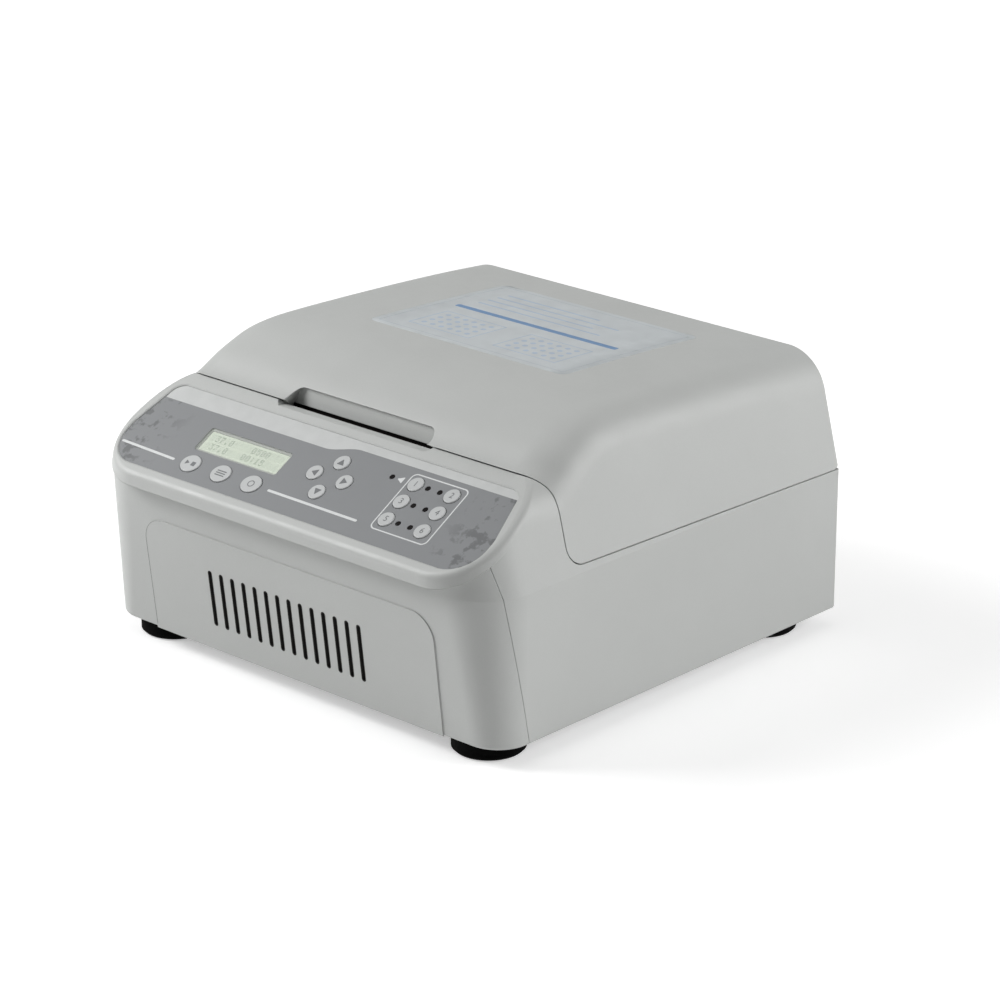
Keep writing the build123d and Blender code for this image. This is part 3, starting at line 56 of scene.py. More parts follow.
def tree_of(node):
    """Search tree over a CAD node's surface."""
    mesh = NODES[node].data
    return BVHTree.FromPolygons([v.co for v in mesh.vertices], [tuple(p.vertices) for p in mesh.polygons])


ROOF = tree_of("lid_shell")
ROOF_CACHE = {}


def roof_height(y):
    """Height of the lid's middle line at y, in mm."""
    key = round(y, 2)
    if key not in ROOF_CACHE:
        hit = ROOF.ray_cast(Vector((0.003, y * MM, 0.4)), Vector((0, 0, -1)))[0]
        ROOF_CACHE[key] = hit.z / MM
    return ROOF_CACHE[key]


def on_roof(u, v, w):
    """A point over the lid's middle stretch: x and y in mm, w above its surface."""
    return Vector((u, v, roof_height(v) + w)) * MM


# ---------------------------------------------------------------- meshes
def finish_mesh(bm, name, material, body, smooth=False):
    """Make an object of a bmesh and let it ride on a CAD body."""
    bmesh.ops.recalc_face_normals(bm, faces=bm.faces)
    mesh = bpy.data.meshes.new(name)
    bm.to_mesh(mesh)
    bm.free()
    for face in mesh.polygons:
        face.use_smooth = smooth
    mesh.materials.append(material)
    obj = bpy.data.objects.new(name, mesh)
    bpy.context.scene.collection.objects.link(obj)
    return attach(obj, body)


def add_prism(bm, points, place, low, high):
    """A flat shape between two levels."""
    top = [bm.verts.new(place(u, v, high)) for u, v in points]
    bottom = [bm.verts.new(place(u, v, low)) for u, v in points]
    bm.faces.new(top)
    bm.faces.new(bottom[::-1])
    count = len(points)
    for i in range(count):
        j = (i + 1) % count
        bm.faces.new((top[j], top[i], bottom[i], bottom[j]))


def add_ring(bm, outer, inner, place, low, high):
    """A band between two outlines with the same number of points."""
    loops = [[bm.verts.new(place(u, v, w)) for u, v in line]
             for line, w in ((outer, high), (inner, high), (inner, low), (outer, low))]
    count = len(outer)
    for i in range(count):
        j = (i + 1) % count
        for k in range(4):
            a, b = loops[k], loops[(k + 1) % 4]
            bm.faces.new((a[i], a[j], b[j], b[i]))


def add_rows(bm, rows, place, low, high):
    """A sheet from rows (v, left u, right u), following a curved place, with a skirt round it."""
    columns = 9
    layers = []
    for w in (high, low):
        grid = []
        for v, left, right in rows:
            step = (right - left) / (columns - 1)
            grid.append([bm.verts.new(place(left + step * i, v, w)) for i in range(columns)])
        layers.append(grid)
    top, bottom = layers
    for r in range(len(rows) - 1):
        for c in range(columns - 1):
            bm.faces.new((top[r][c], top[r][c + 1], top[r + 1][c + 1], top[r + 1][c]))
            bm.faces.new((bottom[r][c], bottom[r + 1][c], bottom[r + 1][c + 1], bottom[r][c + 1]))
        for c in (0, columns - 1):
            bm.faces.new((top[r][c], top[r + 1][c], bottom[r + 1][c], bottom[r][c]))
    for r in (0, len(rows) - 1):
        for c in range(columns - 1):
            bm.faces.new((top[r][c], top[r][c + 1], bottom[r][c + 1], bottom[r][c]))


def circle_points(u, v, r, count=32):
    turns = [2 * pi * i / count for i in range(count)]
    return [(u + r * cos(turn), v + r * sin(turn)) for turn in turns]


def rounded_points(corners, radii, steps=10):
    """Outline of a polygon with a rounded corner of its own radius at each point."""
    points = []
    count = len(corners)
    for i, corner in enumerate(corners):
        here = Vector(corner)
        before = (Vector(corners[i - 1]) - here).normalized()
        after = (Vector(corners[(i + 1) % count]) - here).normalized()
        half = before.angle(after) / 2
        centre = here + (before + after).normalized() * (radii[i] / sin(half))
        start = here + before * (radii[i] / tan(half)) - centre
        end = here + after * (radii[i] / tan(half)) - centre
        turn = start.angle(end)
        for k in range(steps + 1):
            t = k / steps
            arm = (start * sin((1 - t) * turn) + end * sin(t * turn)) / sin(turn)
            points.append(tuple(centre + arm))
    return points


def box_points(u, v, w, h):
    return [(u - w / 2, v - h / 2), (u + w / 2, v - h / 2), (u + w / 2, v + h / 2), (u - w / 2, v + h / 2)]


def rounded_box_points(u, v, w, h, r, steps=8):
    return rounded_points(box_points(u, v, w, h), [r] * 4, steps)


def bar_points(u0, v0, u1, v1, width):
    """A line with round ends."""
    a, b = Vector((u0, v0)), Vector((u1, v1))
    along = (b - a).normalized()
    side = Vector((-along.y, along.x)) * width / 2
    points = []
    for end, sign in ((b, 1), (a, -1)):
        for k in range(9):
            turn = pi / 2 - pi * k / 8
            points.append(tuple(end + sign * (along * cos(turn) * width / 2 + side * sin(turn))))
    return points


# ---------------------------------------------------------------- materials
def srgb(*values):
    """0-255 display values to linear colour."""
    linear = [(v / 255 / 12.92 if v <= 10 else ((v / 255 + 0.055) / 1.055) ** 2.4) for v in values]
    return (*linear, 1.0)


class Finish:
    """A node material on a Principled shader, with helpers for its usual detail."""

    def __init__(self, name, **sockets):
        self.material = bpy.data.materials.new(name)
        self.material.use_nodes = True
        self.tree = self.material.node_tree
        self.shader = self.tree.nodes["Principled BSDF"]
        for socket, value in sockets.items():
            self.shader.inputs[socket.replace("_", " ")].default_value = value
        self.coords = self.tree.nodes.new("ShaderNodeTexCoord").outputs["Object"]

    def link(self, output, target):
        self.tree.links.new(output, target)

    def node(self, kind, **values):
        made = self.tree.nodes.new("ShaderNode" + kind)
        for name, value in values.items():
            if name in made.inputs:
                made.inputs[name].default_value = value
            else:
                setattr(made, name, value)
        return made

    def stretched(self, scale):
        """Object coordinates scaled by axis, for brushed or drawn surfaces."""
        mapping = self.node("Mapping", Scale=scale)
        self.link(self.coords, mapping.inputs["Vector"])
        return mapping.outputs["Vector"]

    def noise(self, scale, detail=2.0, rough=0.5, vector=None):
        made = self.node("TexNoise", Scale=scale, Detail=detail, Roughness=rough)
        self.link(vector or self.coords, made.inputs["Vector"])
        return made.outputs["Fac"]

    def cells(self, scale, feature="F1"):
        made = self.node("TexVoronoi", Scale=scale, feature=feature)
        self.link(self.coords, made.inputs["Vector"])
        return made.outputs["Distance"]

    def ramp(self, value, low, high, to_low=0.0, to_high=1.0):
        made = self.node("MapRange")
        for i, number in enumerate((low, high, to_low, to_high), 1):
            made.inputs[i].default_value = number
        self.link(value, made.inputs[0])
        return made.outputs[0]

    def math(self, operation, a, b=None):
        made = self.node("Math", operation=operation)
        for socket, value in ((0, a), (1, b)):
            if isinstance(value, (int, float)):
                made.inputs[socket].default_value = value
            elif value is not None:
                self.link(value, made.inputs[socket])
        return made.outputs[0]

    def blend(self, factor, a, b):
        """Mix two colours, each a colour or an output."""
        made = self.node("Mix", data_type="RGBA")
        self.link(factor, made.inputs["Factor"])
        for socket, value in ((6, a), (7, b)):
            if isinstance(value, tuple):
                made.inputs[socket].default_value = value
            else:
                self.link(value, made.inputs[socket])
        return made.outputs[2]

    def colour(self, output):
        self.link(output, self.shader.inputs["Base Color"])
        return self

    def roughness(self, value, low, high):
        self.link(self.ramp(value, 0.3, 0.7, low, high), self.shader.inputs["Roughness"])
        return self

    def bump(self, heights, edge=0.0):
        """Bump from (output, distance in metres) pairs; edge rounds sharp edges in shading."""
        normal = None
        if edge:
            bevel = self.node("Bevel", samples=6, Radius=edge)
            normal = bevel.outputs["Normal"]
        for output, distance in heights:
            made = self.node("Bump", Strength=1.0, Distance=distance)
            self.link(output, made.inputs["Height"])
            if normal:
                self.link(normal, made.inputs["Normal"])
            normal = made.outputs["Normal"]
        self.link(normal, self.shader.inputs["Normal"])
        return self


def tint(colour, factor):
    return (*[min(1.0, c * factor) for c in colour[:3]], 1.0)


def moulded(name, colour, rough=0.45, grain=1500.0, depth=0.00002, spread=0.04, edge=0.0006, **sockets):
    """Moulded plastic: spark-eroded grain, faint flow marks and handling marks."""
    made = Finish(name, **sockets)
    flow = made.noise(9.0, 4.0, 0.6)
    fine = made.noise(grain, 3.0, 0.6)
    marks = made.noise(70.0, 6.0, 0.7)
    shade = made.math("ADD", made.math("MULTIPLY", flow, 0.6), made.math("MULTIPLY", fine, 0.4))
    made.colour(made.blend(made.ramp(shade, 0.3, 0.7), tint(colour, 1 - spread), tint(colour, 1 + spread)))
    made.roughness(marks, rough - 0.06, rough + 0.08)
    return made.bump([(fine, depth)], edge).material


def metal(name, colour, rough=0.35, brushed=None, depth=0.00001):
    """Worked metal: brushed or turned marks, cloudy wear and rounded edges."""
    made = Finish(name, Metallic=1.0)
    vector = made.stretched(brushed) if brushed else None
    marks = made.noise(1.0 if brushed else 900.0, 4.0, 0.65, vector)
    cloud = made.noise(22.0, 5.0, 0.6)
    made.colour(made.blend(made.ramp(cloud, 0.3, 0.7), tint(colour, 0.88), tint(colour, 1.06)))
    made.roughness(made.math("ADD", made.math("MULTIPLY", marks, 0.5), made.math("MULTIPLY", cloud, 0.5)),
                   rough - 0.08, rough + 0.12)
    return made.bump([(marks, depth)], 0.0003).material


def rubber(name, colour, rough=0.75, grain=1200.0, dusty=0.5):
    """Matt rubber with a fine skin and dusty patches."""
    made = Finish(name, Specular_IOR_Level=0.5 * dusty)
    skin = made.noise(grain, 3.0, 0.6)
    dust = made.noise(60.0, 6.0, 0.7)
    made.colour(made.blend(made.ramp(dust, 0.52, 0.8, 0.0, dusty), colour, tint(srgb(120, 118, 114), 0.35)))
    made.roughness(dust, rough - 0.1, rough + 0.12)
    return made.bump([(skin, 0.00003)], 0.0005).material


def circuit_board(name):
    """Green solder mask over copper tracks, with bare pads."""
    made = Finish(name, Coat_Weight=0.4)
    tracks = made.cells(260.0, "DISTANCE_TO_EDGE")
    pads = made.cells(420.0)
    mask = made.blend(made.ramp(tracks, 0.04, 0.07), srgb(40, 120, 70), srgb(14, 84, 44))
    made.colour(made.blend(made.ramp(pads, 0.16, 0.2), srgb(196, 190, 160), mask))
    made.roughness(made.noise(300.0), 0.3, 0.45)
    return made.bump([(tracks, 0.00003)], 0.0002).material


def heater_foil(name):
    """Orange silicone sheet with the etched element's meander showing through."""
    made = Finish(name)
    lines = made.node("TexWave", wave_type="BANDS", bands_direction="Y", Scale=52.0, Distortion=0.6)
    made.link(made.coords, lines.inputs["Vector"])
    weave = made.noise(1400.0, 2.0)
    made.colour(made.blend(made.ramp(lines.outputs["Fac"], 0.42, 0.5), srgb(196, 92, 40), srgb(150, 62, 28)))
    made.roughness(weave, 0.45, 0.6)
    return made.bump([(weave, 0.00002), (lines.outputs["Fac"], 0.00008)]).material


def overlay_film(name):
    """Satin printed film, a cool mid grey with faint darker clouds at both ends."""
    made = Finish(name)
    split = made.node("SeparateXYZ")
    made.link(made.coords, split.inputs[0])
    across = made.math("ABSOLUTE", split.outputs["X"])
    ends = made.ramp(across, 0.100, 0.120)
    clouds = made.ramp(made.noise(120.0, 3.0, 0.6), 0.53, 0.60)
    fine = made.noise(2400.0, 2.0)
    field = made.blend(fine, OVERLAY_GREY, tint(OVERLAY_GREY, 1.06))
    made.colour(made.blend(made.math("MULTIPLY", made.math("MULTIPLY", ends, clouds), 0.95), field,
                           tint(OVERLAY_GREY, 0.62)))
    made.roughness(made.noise(200.0), 0.38, 0.5)
    return made.bump([(fine, 0.000008)], 0.0003).material


def printed(name, colour, rough=0.45):
    """Screen-printed ink: slightly uneven, with a faint mesh."""
    made = Finish(name)
    mesh = made.noise(3000.0, 2.0)
    patch = made.noise(120.0, 4.0)
    made.colour(made.blend(made.ramp(patch, 0.3, 0.7), tint(colour, 0.96), tint(colour, 1.03)))
    made.roughness(patch, rough - 0.05, rough + 0.08)
    return made.bump([(mesh, 0.000006)]).material


def clear_window(name):
    """Clear film over the display: faint hairline scratches, mostly see-through."""
    made = Finish(name, Base_Color=srgb(232, 238, 228), Alpha=0.22, Coat_Weight=0.6, Coat_Roughness=0.08)
    hairs = made.noise(1.0, 3.0, 0.6, made.stretched((3000.0, 160.0, 160.0)))
    made.roughness(hairs, 0.08, 0.2)
    return made.bump([(hairs, 0.000004)]).material


def display_glass(name):
    """Pale green display: two rows of faint character cells."""
    made = Finish(name, Coat_Weight=0.3, Coat_Roughness=0.1, Emission_Color=srgb(222, 232, 214),
                  Emission_Strength=0.16)
    glow = made.noise(40.0, 2.0)
    grid = made.noise(1800.0, 1.0)
    made.colour(made.blend(made.ramp(glow, 0.3, 0.7), srgb(226, 233, 220), srgb(238, 243, 230)))
    made.roughness(grid, 0.25, 0.4)
    return made.bump([(grid, 0.000004)]).material


BODY_GREY = srgb(196, 198, 196)
OVERLAY_GREY = srgb(137, 139, 141)
INLET_BLACK = srgb(34, 34, 35)
STEEL = srgb(196, 197, 200)
ALUMINIUM = srgb(208, 210, 212)

housing = moulded("housing_plastic", BODY_GREY)
key_plastic = moulded("key_plastic", srgb(200, 202, 202), 0.38, 2600.0, 0.000006, 0.02, 0.0003)
inlet_plastic = moulded("inlet_plastic", INLET_BLACK, 0.5, 1800.0, 0.00002, 0.1, 0.0004)
lamp_lens = moulded("lamp_lens", srgb(20, 16, 16), 0.16, 2600.0, 0.000004, 0.05, 0.0002, Coat_Weight=0.6)
board_green = circuit_board("circuit_board")
overlay = overlay_film("overlay_film")
foot_rubber = rubber("foot_rubber", srgb(7, 7, 7), 0.85, dusty=0.12)
seal_rubber = rubber("seal_rubber", srgb(120, 121, 123), 0.65)
belt_rubber = rubber("belt_rubber", srgb(30, 30, 31), 0.7, 900.0)
filter_foam = rubber("filter_foam", srgb(30, 28, 27), 0.9, 600.0, 0.1)
rim_rubber = rubber("rim_rubber", srgb(58, 57, 56), 0.8, 1200.0, 0.3)
cast_alloy = metal("cast_aluminium", srgb(186, 188, 190), 0.42, None, 0.00004)
tray_alloy = metal("liner_aluminium", ALUMINIUM, 0.36, (60.0, 2600.0, 2600.0), 0.000008)
block_alloy = metal("machined_aluminium", srgb(202, 204, 207), 0.32, (2400.0, 90.0, 2400.0), 0.00001)
ground_steel = metal("ground_steel", STEEL, 0.22, (700.0, 700.0, 5000.0), 0.000006)
dark_steel = metal("blued_steel", srgb(120, 121, 126), 0.4)
motor_can = metal("motor_can", srgb(110, 111, 114), 0.38, (800.0, 800.0, 60.0), 0.00001)
sheet_zinc = metal("zinc_sheet", srgb(176, 179, 182), 0.4)
plate_paint = moulded("plate_paint", srgb(168, 170, 170), 0.5, 1100.0, 0.00004)
bronze = metal("sintered_bronze", srgb(186, 148, 84), 0.45, None, 0.00003)
heater_sheet = heater_foil("heater_foil")
window_film = clear_window("window_film")
# Painted shade: grey ink for the dark line on the front that stands for a shaded step wall.
painted_step_shade = printed("painted_step_shade", srgb(112, 113, 112), 0.6)
lcd_green = display_glass("display_glass")
switch_black = moulded("switch_plastic", srgb(36, 36, 38), 0.5, 2000.0)

FINISHES = {
    "base_cover": housing, "front_fascia": housing, "lid_shell": housing, "vent_filter": filter_foam,
    "base_plate": plate_paint, "feet": foot_rubber, "foot_screws": ground_steel, "lid_screws": ground_steel,
    "membrane_overlay": overlay, "display_window": window_film, "display_module": lcd_green,
    "status_lamps": lamp_lens, "control_board": board_green, "power_board": board_green,
    "tact_switches": switch_black, "supply_parts": switch_black,
    "chamber_tray": tray_alloy, "lid_liner": tray_alloy, "chamber_gasket": seal_rubber,
    "drive_frame": cast_alloy, "platform_carrier": cast_alloy, "platform_block": block_alloy,
    "frame_bearings": ground_steel, "platform_bearing": ground_steel, "crankshaft": ground_steel,
    "hinge_pins": ground_steel, "motor_shaft": ground_steel, "balance_weight": dark_steel,
    "crank_pulley": block_alloy, "motor_pulley": block_alloy, "drive_belt": belt_rubber,
    "idler_bushes": bronze, "platform_heater": heater_sheet, "lid_heater": heater_sheet,
    "motor_bracket": sheet_zinc, "drive_motor": motor_can,
    "mains_inlet": inlet_plastic, "fuse_drawer": inlet_plastic, "rocker_frame": inlet_plastic,
    "power_rocker": inlet_plastic, "fan_housing": inlet_plastic, "fan_rotor": inlet_plastic,
}
for name, node in NODES.items():
    finish = FINISHES.get(name, key_plastic if "key" in name else ground_steel)
    node.data.materials.clear()
    node.data.materials.append(finish)

# ---------------------------------------------------------------- print on the control panel
light_ink = printed("light_ink", srgb(205, 207, 206))
white_ink = printed("white_ink", srgb(226, 228, 228))
grey_ink = printed("grey_ink", srgb(118, 120, 122))
FILM = (OVERLAY_LEVEL, OVERLAY_LEVEL + INK)
CAP = (KEY_LEVEL, KEY_LEVEL + INK)

STRIP_LOW = 18.4                     # lower edge of the light strip, left of its step
STRIP_HIGH = 24.1                    # and right of it
STEP = (-5.0, 18.0)                  # where the step starts and ends
STRIP_MARGIN = 0.25


def overlay_line(gap=0):
    """Outline of the membrane overlay, let out by a gap."""
    wide, top, low, high = 136.5 + gap, 129 + gap, -30 - gap, 30 + gap
    corners = [(-wide, low), (wide, low), (wide, -4), (top, high), (-top, high), (-wide, -4)]
    return rounded_points(corners, [20 + gap, 20 + gap, 20, 9 + gap, 9 + gap, 20], 24)


def strip_edge(u):
    """Lower edge of the light strip, with its smooth step."""
    t = min(1.0, max(0.0, (u - STEP[0]) / (STEP[1] - STEP[0])))
    return STRIP_LOW + (STRIP_HIGH - STRIP_LOW) * t * t * (3 - 2 * t)


above = [(u * (1 - STRIP_MARGIN / 130), v - STRIP_MARGIN * (v > 20))
         for u, v in overlay_line() if v > strip_edge(u)]
right_u, left_u = above[0][0], above[-1][0]
EDGE_STEPS = 140
edge = [left_u + (right_u - left_u) * i / EDGE_STEPS for i in range(EDGE_STEPS + 1)]
bm = bmesh.new()
add_prism(bm, above + [(u, strip_edge(u)) for u in edge], on_panel, *FILM)
finish_mesh(bm, "panel_light_strip", light_ink, "base")

LINES = [(-132.6, -17.3, -90.8, -18.4), (-16.5, -18.0, 49.1, -18.4)]
LINE_W = 1.6
MEMORY_BOX = (79.6, 0.6, 40.4, 40.8, 3.6)
MEMORY_LINE = 0.8
POINTER = [(52.4, 14.2), (56.6, 11.9), (56.6, 16.5)]
bm = bmesh.new()
for line in LINES:
    add_prism(bm, bar_points(*line, LINE_W), on_panel, *FILM)
u, v, w, h, r = MEMORY_BOX
inside = rounded_box_points(u, v, w - 2 * MEMORY_LINE, h - 2 * MEMORY_LINE, r - MEMORY_LINE)
add_ring(bm, rounded_box_points(u, v, w, h, r), inside, on_panel, *FILM)
add_prism(bm, rounded_points(POINTER, [0.3] * 3, 4), on_panel, *FILM)
finish_mesh(bm, "panel_white_print", white_ink, "base")

ARROW_CENTRE = (12.7, 1.7)
ARROW_REACH = 11.1
ARROW_TIP, ARROW_FOOT, ARROW_HALF = 2.2, 1.9, 2.4
ARROWS = {"up": (0, 1), "left": (-1, 0), "right": (1, 0), "down": (0, -1)}
for name, (du, dv) in ARROWS.items():
    u, v = ARROW_CENTRE[0] + du * ARROW_REACH, ARROW_CENTRE[1] + dv * ARROW_REACH
    tip = (u + ARROW_TIP * du, v + ARROW_TIP * dv)
    feet = [(u - ARROW_FOOT * du + s * ARROW_HALF * dv, v - ARROW_FOOT * dv - s * ARROW_HALF * du)
            for s in (1, -1)]
    bm = bmesh.new()
    add_prism(bm, rounded_points([tip, *feet], [0.25] * 3, 4), on_panel, *CAP)
    finish_mesh(bm, f"arrow_mark_{name}", grey_ink, f"arrow_key_{name}_body")


def numeral(text, u, v, name, material, body):
    """A plain numeral laid on a key, as a thin mesh."""
    curve = bpy.data.curves.new(name, "FONT")
    curve.body = text
    curve.size = NUMERAL_SIZE
    curve.align_x = "CENTER"
    curve.align_y = "CENTER"
    curve.resolution_u = 6
    holder = bpy.data.objects.new(name, curve)
    bpy.context.scene.collection.objects.link(holder)
    bpy.context.view_layer.update()
    flat = bpy.data.meshes.new_from_object(holder)
    bpy.data.objects.remove(holder)
    bpy.data.curves.remove(curve)
    bm = bmesh.new()
    bm.from_mesh(flat)
    bmesh.ops.remove_doubles(bm, verts=bm.verts, dist=1e-4)
    made = bmesh.ops.extrude_face_region(bm, geom=bm.faces[:])
    for vert in [g for g in made["geom"] if isinstance(g, bmesh.types.BMVert)]:
        vert.co.z += INK
    for vert in bm.verts:
        vert.co = on_panel(u + vert.co.x, v + vert.co.y, KEY_LEVEL + vert.co.z)
    finish_mesh(bm, name, material, body)


MEMORY_U = (65.9, 91.8)
MEMORY_V = (14.1, 1.4, -11.8)
NUMERAL_SIZE = 5.2
for number, (v, u) in enumerate([(v, u) for v in MEMORY_V for u in MEMORY_U], 1):
    numeral(str(number), u, v, f"memory_mark_{number}", grey_ink, f"memory_key_{number}_body")

FUNCTION_U = (-77.4, -53.6, -29.9)
FUNCTION_V = -17.8
START_MARK = rounded_points([(-3.6, 1.6), (-3.6, -1.6), (-0.8, 0.0)], [0.2] * 3, 3)
STOP_MARK = rounded_box_points(2.2, 0, 2.8, 2.8, 0.3)
LIST_MARK = [rounded_box_points(0, dv, 7.0, 0.7, 0.3, 3) for dv in (-1.5, 0.0, 1.5)]
RING_MARK = circle_points(0, 0, 2.2)
RING_BORE = 0.75                     # inner size of the ring, as a share of its outer size
MARKS = [[START_MARK, STOP_MARK], LIST_MARK, [RING_MARK]]
for index, (u, marks) in enumerate(zip(FUNCTION_U, MARKS), 1):
    bm = bmesh.new()
    for mark in marks:
        points = [(u + du, FUNCTION_V + dv) for du, dv in mark]
        if len(marks) == 1:
            inner = [(u + du * RING_BORE, FUNCTION_V + dv * RING_BORE) for du, dv in mark]
            add_ring(bm, points, inner, on_panel, *CAP)
        else:
            add_prism(bm, points, on_panel, *CAP)
    finish_mesh(bm, f"function_mark_{index}", grey_ink, f"function_key_{index}_body")

# ---------------------------------------------------------------- display characters
LCD_U = -52.3
LCD_V = 0.3
CELL_PITCH = (3.55, 5.9)
DOT = (0.55, 0.6)                    # pitch of a character's dots
DOT_SIZE = (0.48, 0.54)
COLUMNS = 16
DIGITS = {
    "0": "0E11131519110E", "1": "040C040404040E", "2": "0E11010204081F", "3": "1F02040201110E",
    "4": "02060A121F0202", "5": "1F101E0101110E", "6": "0608101E11110E", "7": "1F010204080808",
    "8": "0E11110E11110E", "9": "0E11110F01020C", ":": "00040400040400", ".": "00000000000C0C",
}
ROWS = [" 37.0    0500  ", " 37.0   00:15  "]
cell_ink = printed("cell_ink", srgb(232, 240, 226), 0.3)
dot_ink = printed("dot_ink", srgb(176, 190, 174), 0.3)
GLASS = (GLASS_LEVEL + 0.02, GLASS_LEVEL + 0.05)
dots, cells = bmesh.new(), bmesh.new()
for row, text in enumerate(ROWS):
    v0 = LCD_V + (0.5 - row) * CELL_PITCH[1]
    for column in range(COLUMNS):
        u0 = LCD_U + (column - (COLUMNS - 1) / 2) * CELL_PITCH[0]
        cell = rounded_box_points(u0, v0, 5 * DOT[0] + 0.2, 8 * DOT[1] + 0.1, 0.1, 2)
        add_prism(cells, cell, on_panel, GLASS[0] - 0.01, GLASS[0])
        bits = DIGITS.get(text[column:column + 1], "00" * 7)
        for line in range(7):
            value = int(bits[2 * line:2 * line + 2], 16)
            for bit in range(5):
                if value >> (4 - bit) & 1:
                    u, v = u0 + (bit - 2) * DOT[0], v0 + (3 - line) * DOT[1]
                    add_prism(dots, box_points(u, v, *DOT_SIZE), on_panel, *GLASS)
finish_mesh(cells, "display_cells", cell_ink, "base")
finish_mesh(dots, "display_numerals", dot_ink, "base")

# ---------------------------------------------------------------- label on the lid
LABEL = (0.0, 58.8, 147.0, 114.0, 5.0)
LABEL_T = 0.12
LABEL_FOOT = -0.05                   # lower side of the label, just under the roof
LABEL_PRINT = (LABEL_T - 0.02, LABEL_T + INK)
BAR = (0.0, 60.5, 121.0, 4.4)
PLATE_U, PLATE_V, PLATE_W, PLATE_H = 32.0, 31.0, 46.0, 32.0
WELL_PITCH, WELL_R = 6.6, 1.7
WELL_COLUMNS, WELL_ROWS = 6, 4
RULES = [(-10, 74, 92), (-16, 82, 80), (-10, 90, 92), (-20, 98, 70)]
RULE_H = 1.6
label_film = printed("label_film", srgb(204, 209, 211), 0.4)
label_edge = printed("label_edge", srgb(186, 193, 198), 0.4)
label_blue = printed("label_blue", srgb(126, 156, 192), 0.4)
label_pale = printed("label_pale_blue", srgb(182, 196, 212), 0.4)


def box_rows(u, v, w, h, r=0.0, step=2.0):
    """Rows of a rectangle with round corners."""
    count = max(2, int(h / step))
    levels = [v - h / 2 + h * i / count for i in range(count + 1)]
    if r:
        for i in range(7):
            drop = r * (1 - cos(pi / 2 * i / 6))
            levels += [v - h / 2 + drop, v + h / 2 - drop]
    rows = []
    for level in sorted(set(round(x, 4) for x in levels)):
        end = max(0.0, abs(level - v) - (h / 2 - r))
        cut = r - sqrt(max(0.0, r * r - end * end))
        rows.append((level, u - w / 2 + cut, u + w / 2 - cut))
    return rows


def dot_rows(u, v, r):
    rows = []
    for i in range(7):
        turn = -pi / 2 + pi * i / 6
        half = max(0.02, r * cos(turn))
        rows.append((v + r * sin(turn), u - half, u + half))
    return rows


def frame_rows(u, v, w, h, line):
    """Four thin bars round a rectangle."""
    return [box_rows(u, v + s * (h - line) / 2, w, line) for s in (-1, 1)] + [
        box_rows(u + s * (w - line) / 2, v, line, h - 2 * line) for s in (-1, 1)]


u, v, w, h, r = LABEL
bm = bmesh.new()
add_rows(bm, box_rows(u, v, w, h, r), on_roof, LABEL_FOOT, LABEL_T)
finish_mesh(bm, "lid_label", label_film, "lid", True)
bm = bmesh.new()
for rows in frame_rows(u, v, w - 8, h - 8, 0.5):
    add_rows(bm, rows, on_roof, *LABEL_PRINT)
finish_mesh(bm, "lid_label_border", label_edge, "lid")
bm = bmesh.new()
add_rows(bm, box_rows(*BAR, 1.2), on_roof, *LABEL_PRINT)
finish_mesh(bm, "lid_label_bar", label_blue, "lid")
bm = bmesh.new()
for centre in (-PLATE_U, PLATE_U):
    for rows in frame_rows(centre, PLATE_V, PLATE_W, PLATE_H, 0.7):
        add_rows(bm, rows, on_roof, *LABEL_PRINT)
    for column in range(WELL_COLUMNS):
        u = centre + (column - (WELL_COLUMNS - 1) / 2) * WELL_PITCH
        for row in range(WELL_ROWS):
            v = PLATE_V + (row - (WELL_ROWS - 1) / 2) * WELL_PITCH
            add_rows(bm, dot_rows(u, v, WELL_R), on_roof, *LABEL_PRINT)
for u, v, w in RULES:
    add_rows(bm, box_rows(u, v, w, RULE_H), on_roof, *LABEL_PRINT)
finish_mesh(bm, "lid_label_marks", label_pale, "lid")

# ---------------------------------------------------------------- overlay's bead, painted shade on the front and in the lid's slit, slot rims
def add_band(bm, loops, closed=True):
    """Faces between neighbouring lines of as many points each, and round again to the first."""
    rings = [[bm.verts.new(point) for point in line] for line in loops]
    count = len(rings[0])
    for k, ring in enumerate(rings):
        other = rings[(k + 1) % len(rings)]
        for i in range(count if closed else count - 1):
            j = (i + 1) % count
            bm.faces.new((ring[i], ring[j], other[j], other[i]))


BEAD = [(0.18, OVERLAY_LEVEL), (0.18, -0.03), (-0.1, -0.2), (-0.5, OVERLAY_LEVEL + 0.1),
        (-0.6, OVERLAY_LEVEL)]               # gap from the overlay's outline, and level
bm = bmesh.new()
add_band(bm, [[on_panel(u, v, w) for u, v in overlay_line(gap)] for gap, w in BEAD])
finish_mesh(bm, "overlay_bead", housing, "base", True)

FRONT_LEAN = radians(6.9)
FRONT_FOOT = (-130.5, 10.0)
PAD = (110.0, 70.0, 15.0, 0.6)       # raised front: half width, height, corner radius and rise
SHADE_LINE_W = 0.34                      # width of the painted shade line on the straight
SHADE_LINE_THINS = 0.022                 # and how much it loses at each step round the corner
SHADE_LINE_STEPS = 12
SHADE_LINE_GAP = 0.25                    # from the edge of the raised front


def on_front(u, v, w):
    """Front coordinates (across, up the face, out of it) in mm to a point in metres."""
    y = FRONT_FOOT[0] - v * sin(FRONT_LEAN) - w * cos(FRONT_LEAN)
    z = FRONT_FOOT[1] + v * cos(FRONT_LEAN) - w * sin(FRONT_LEAN)
    return Vector((u, y, z)) * MM
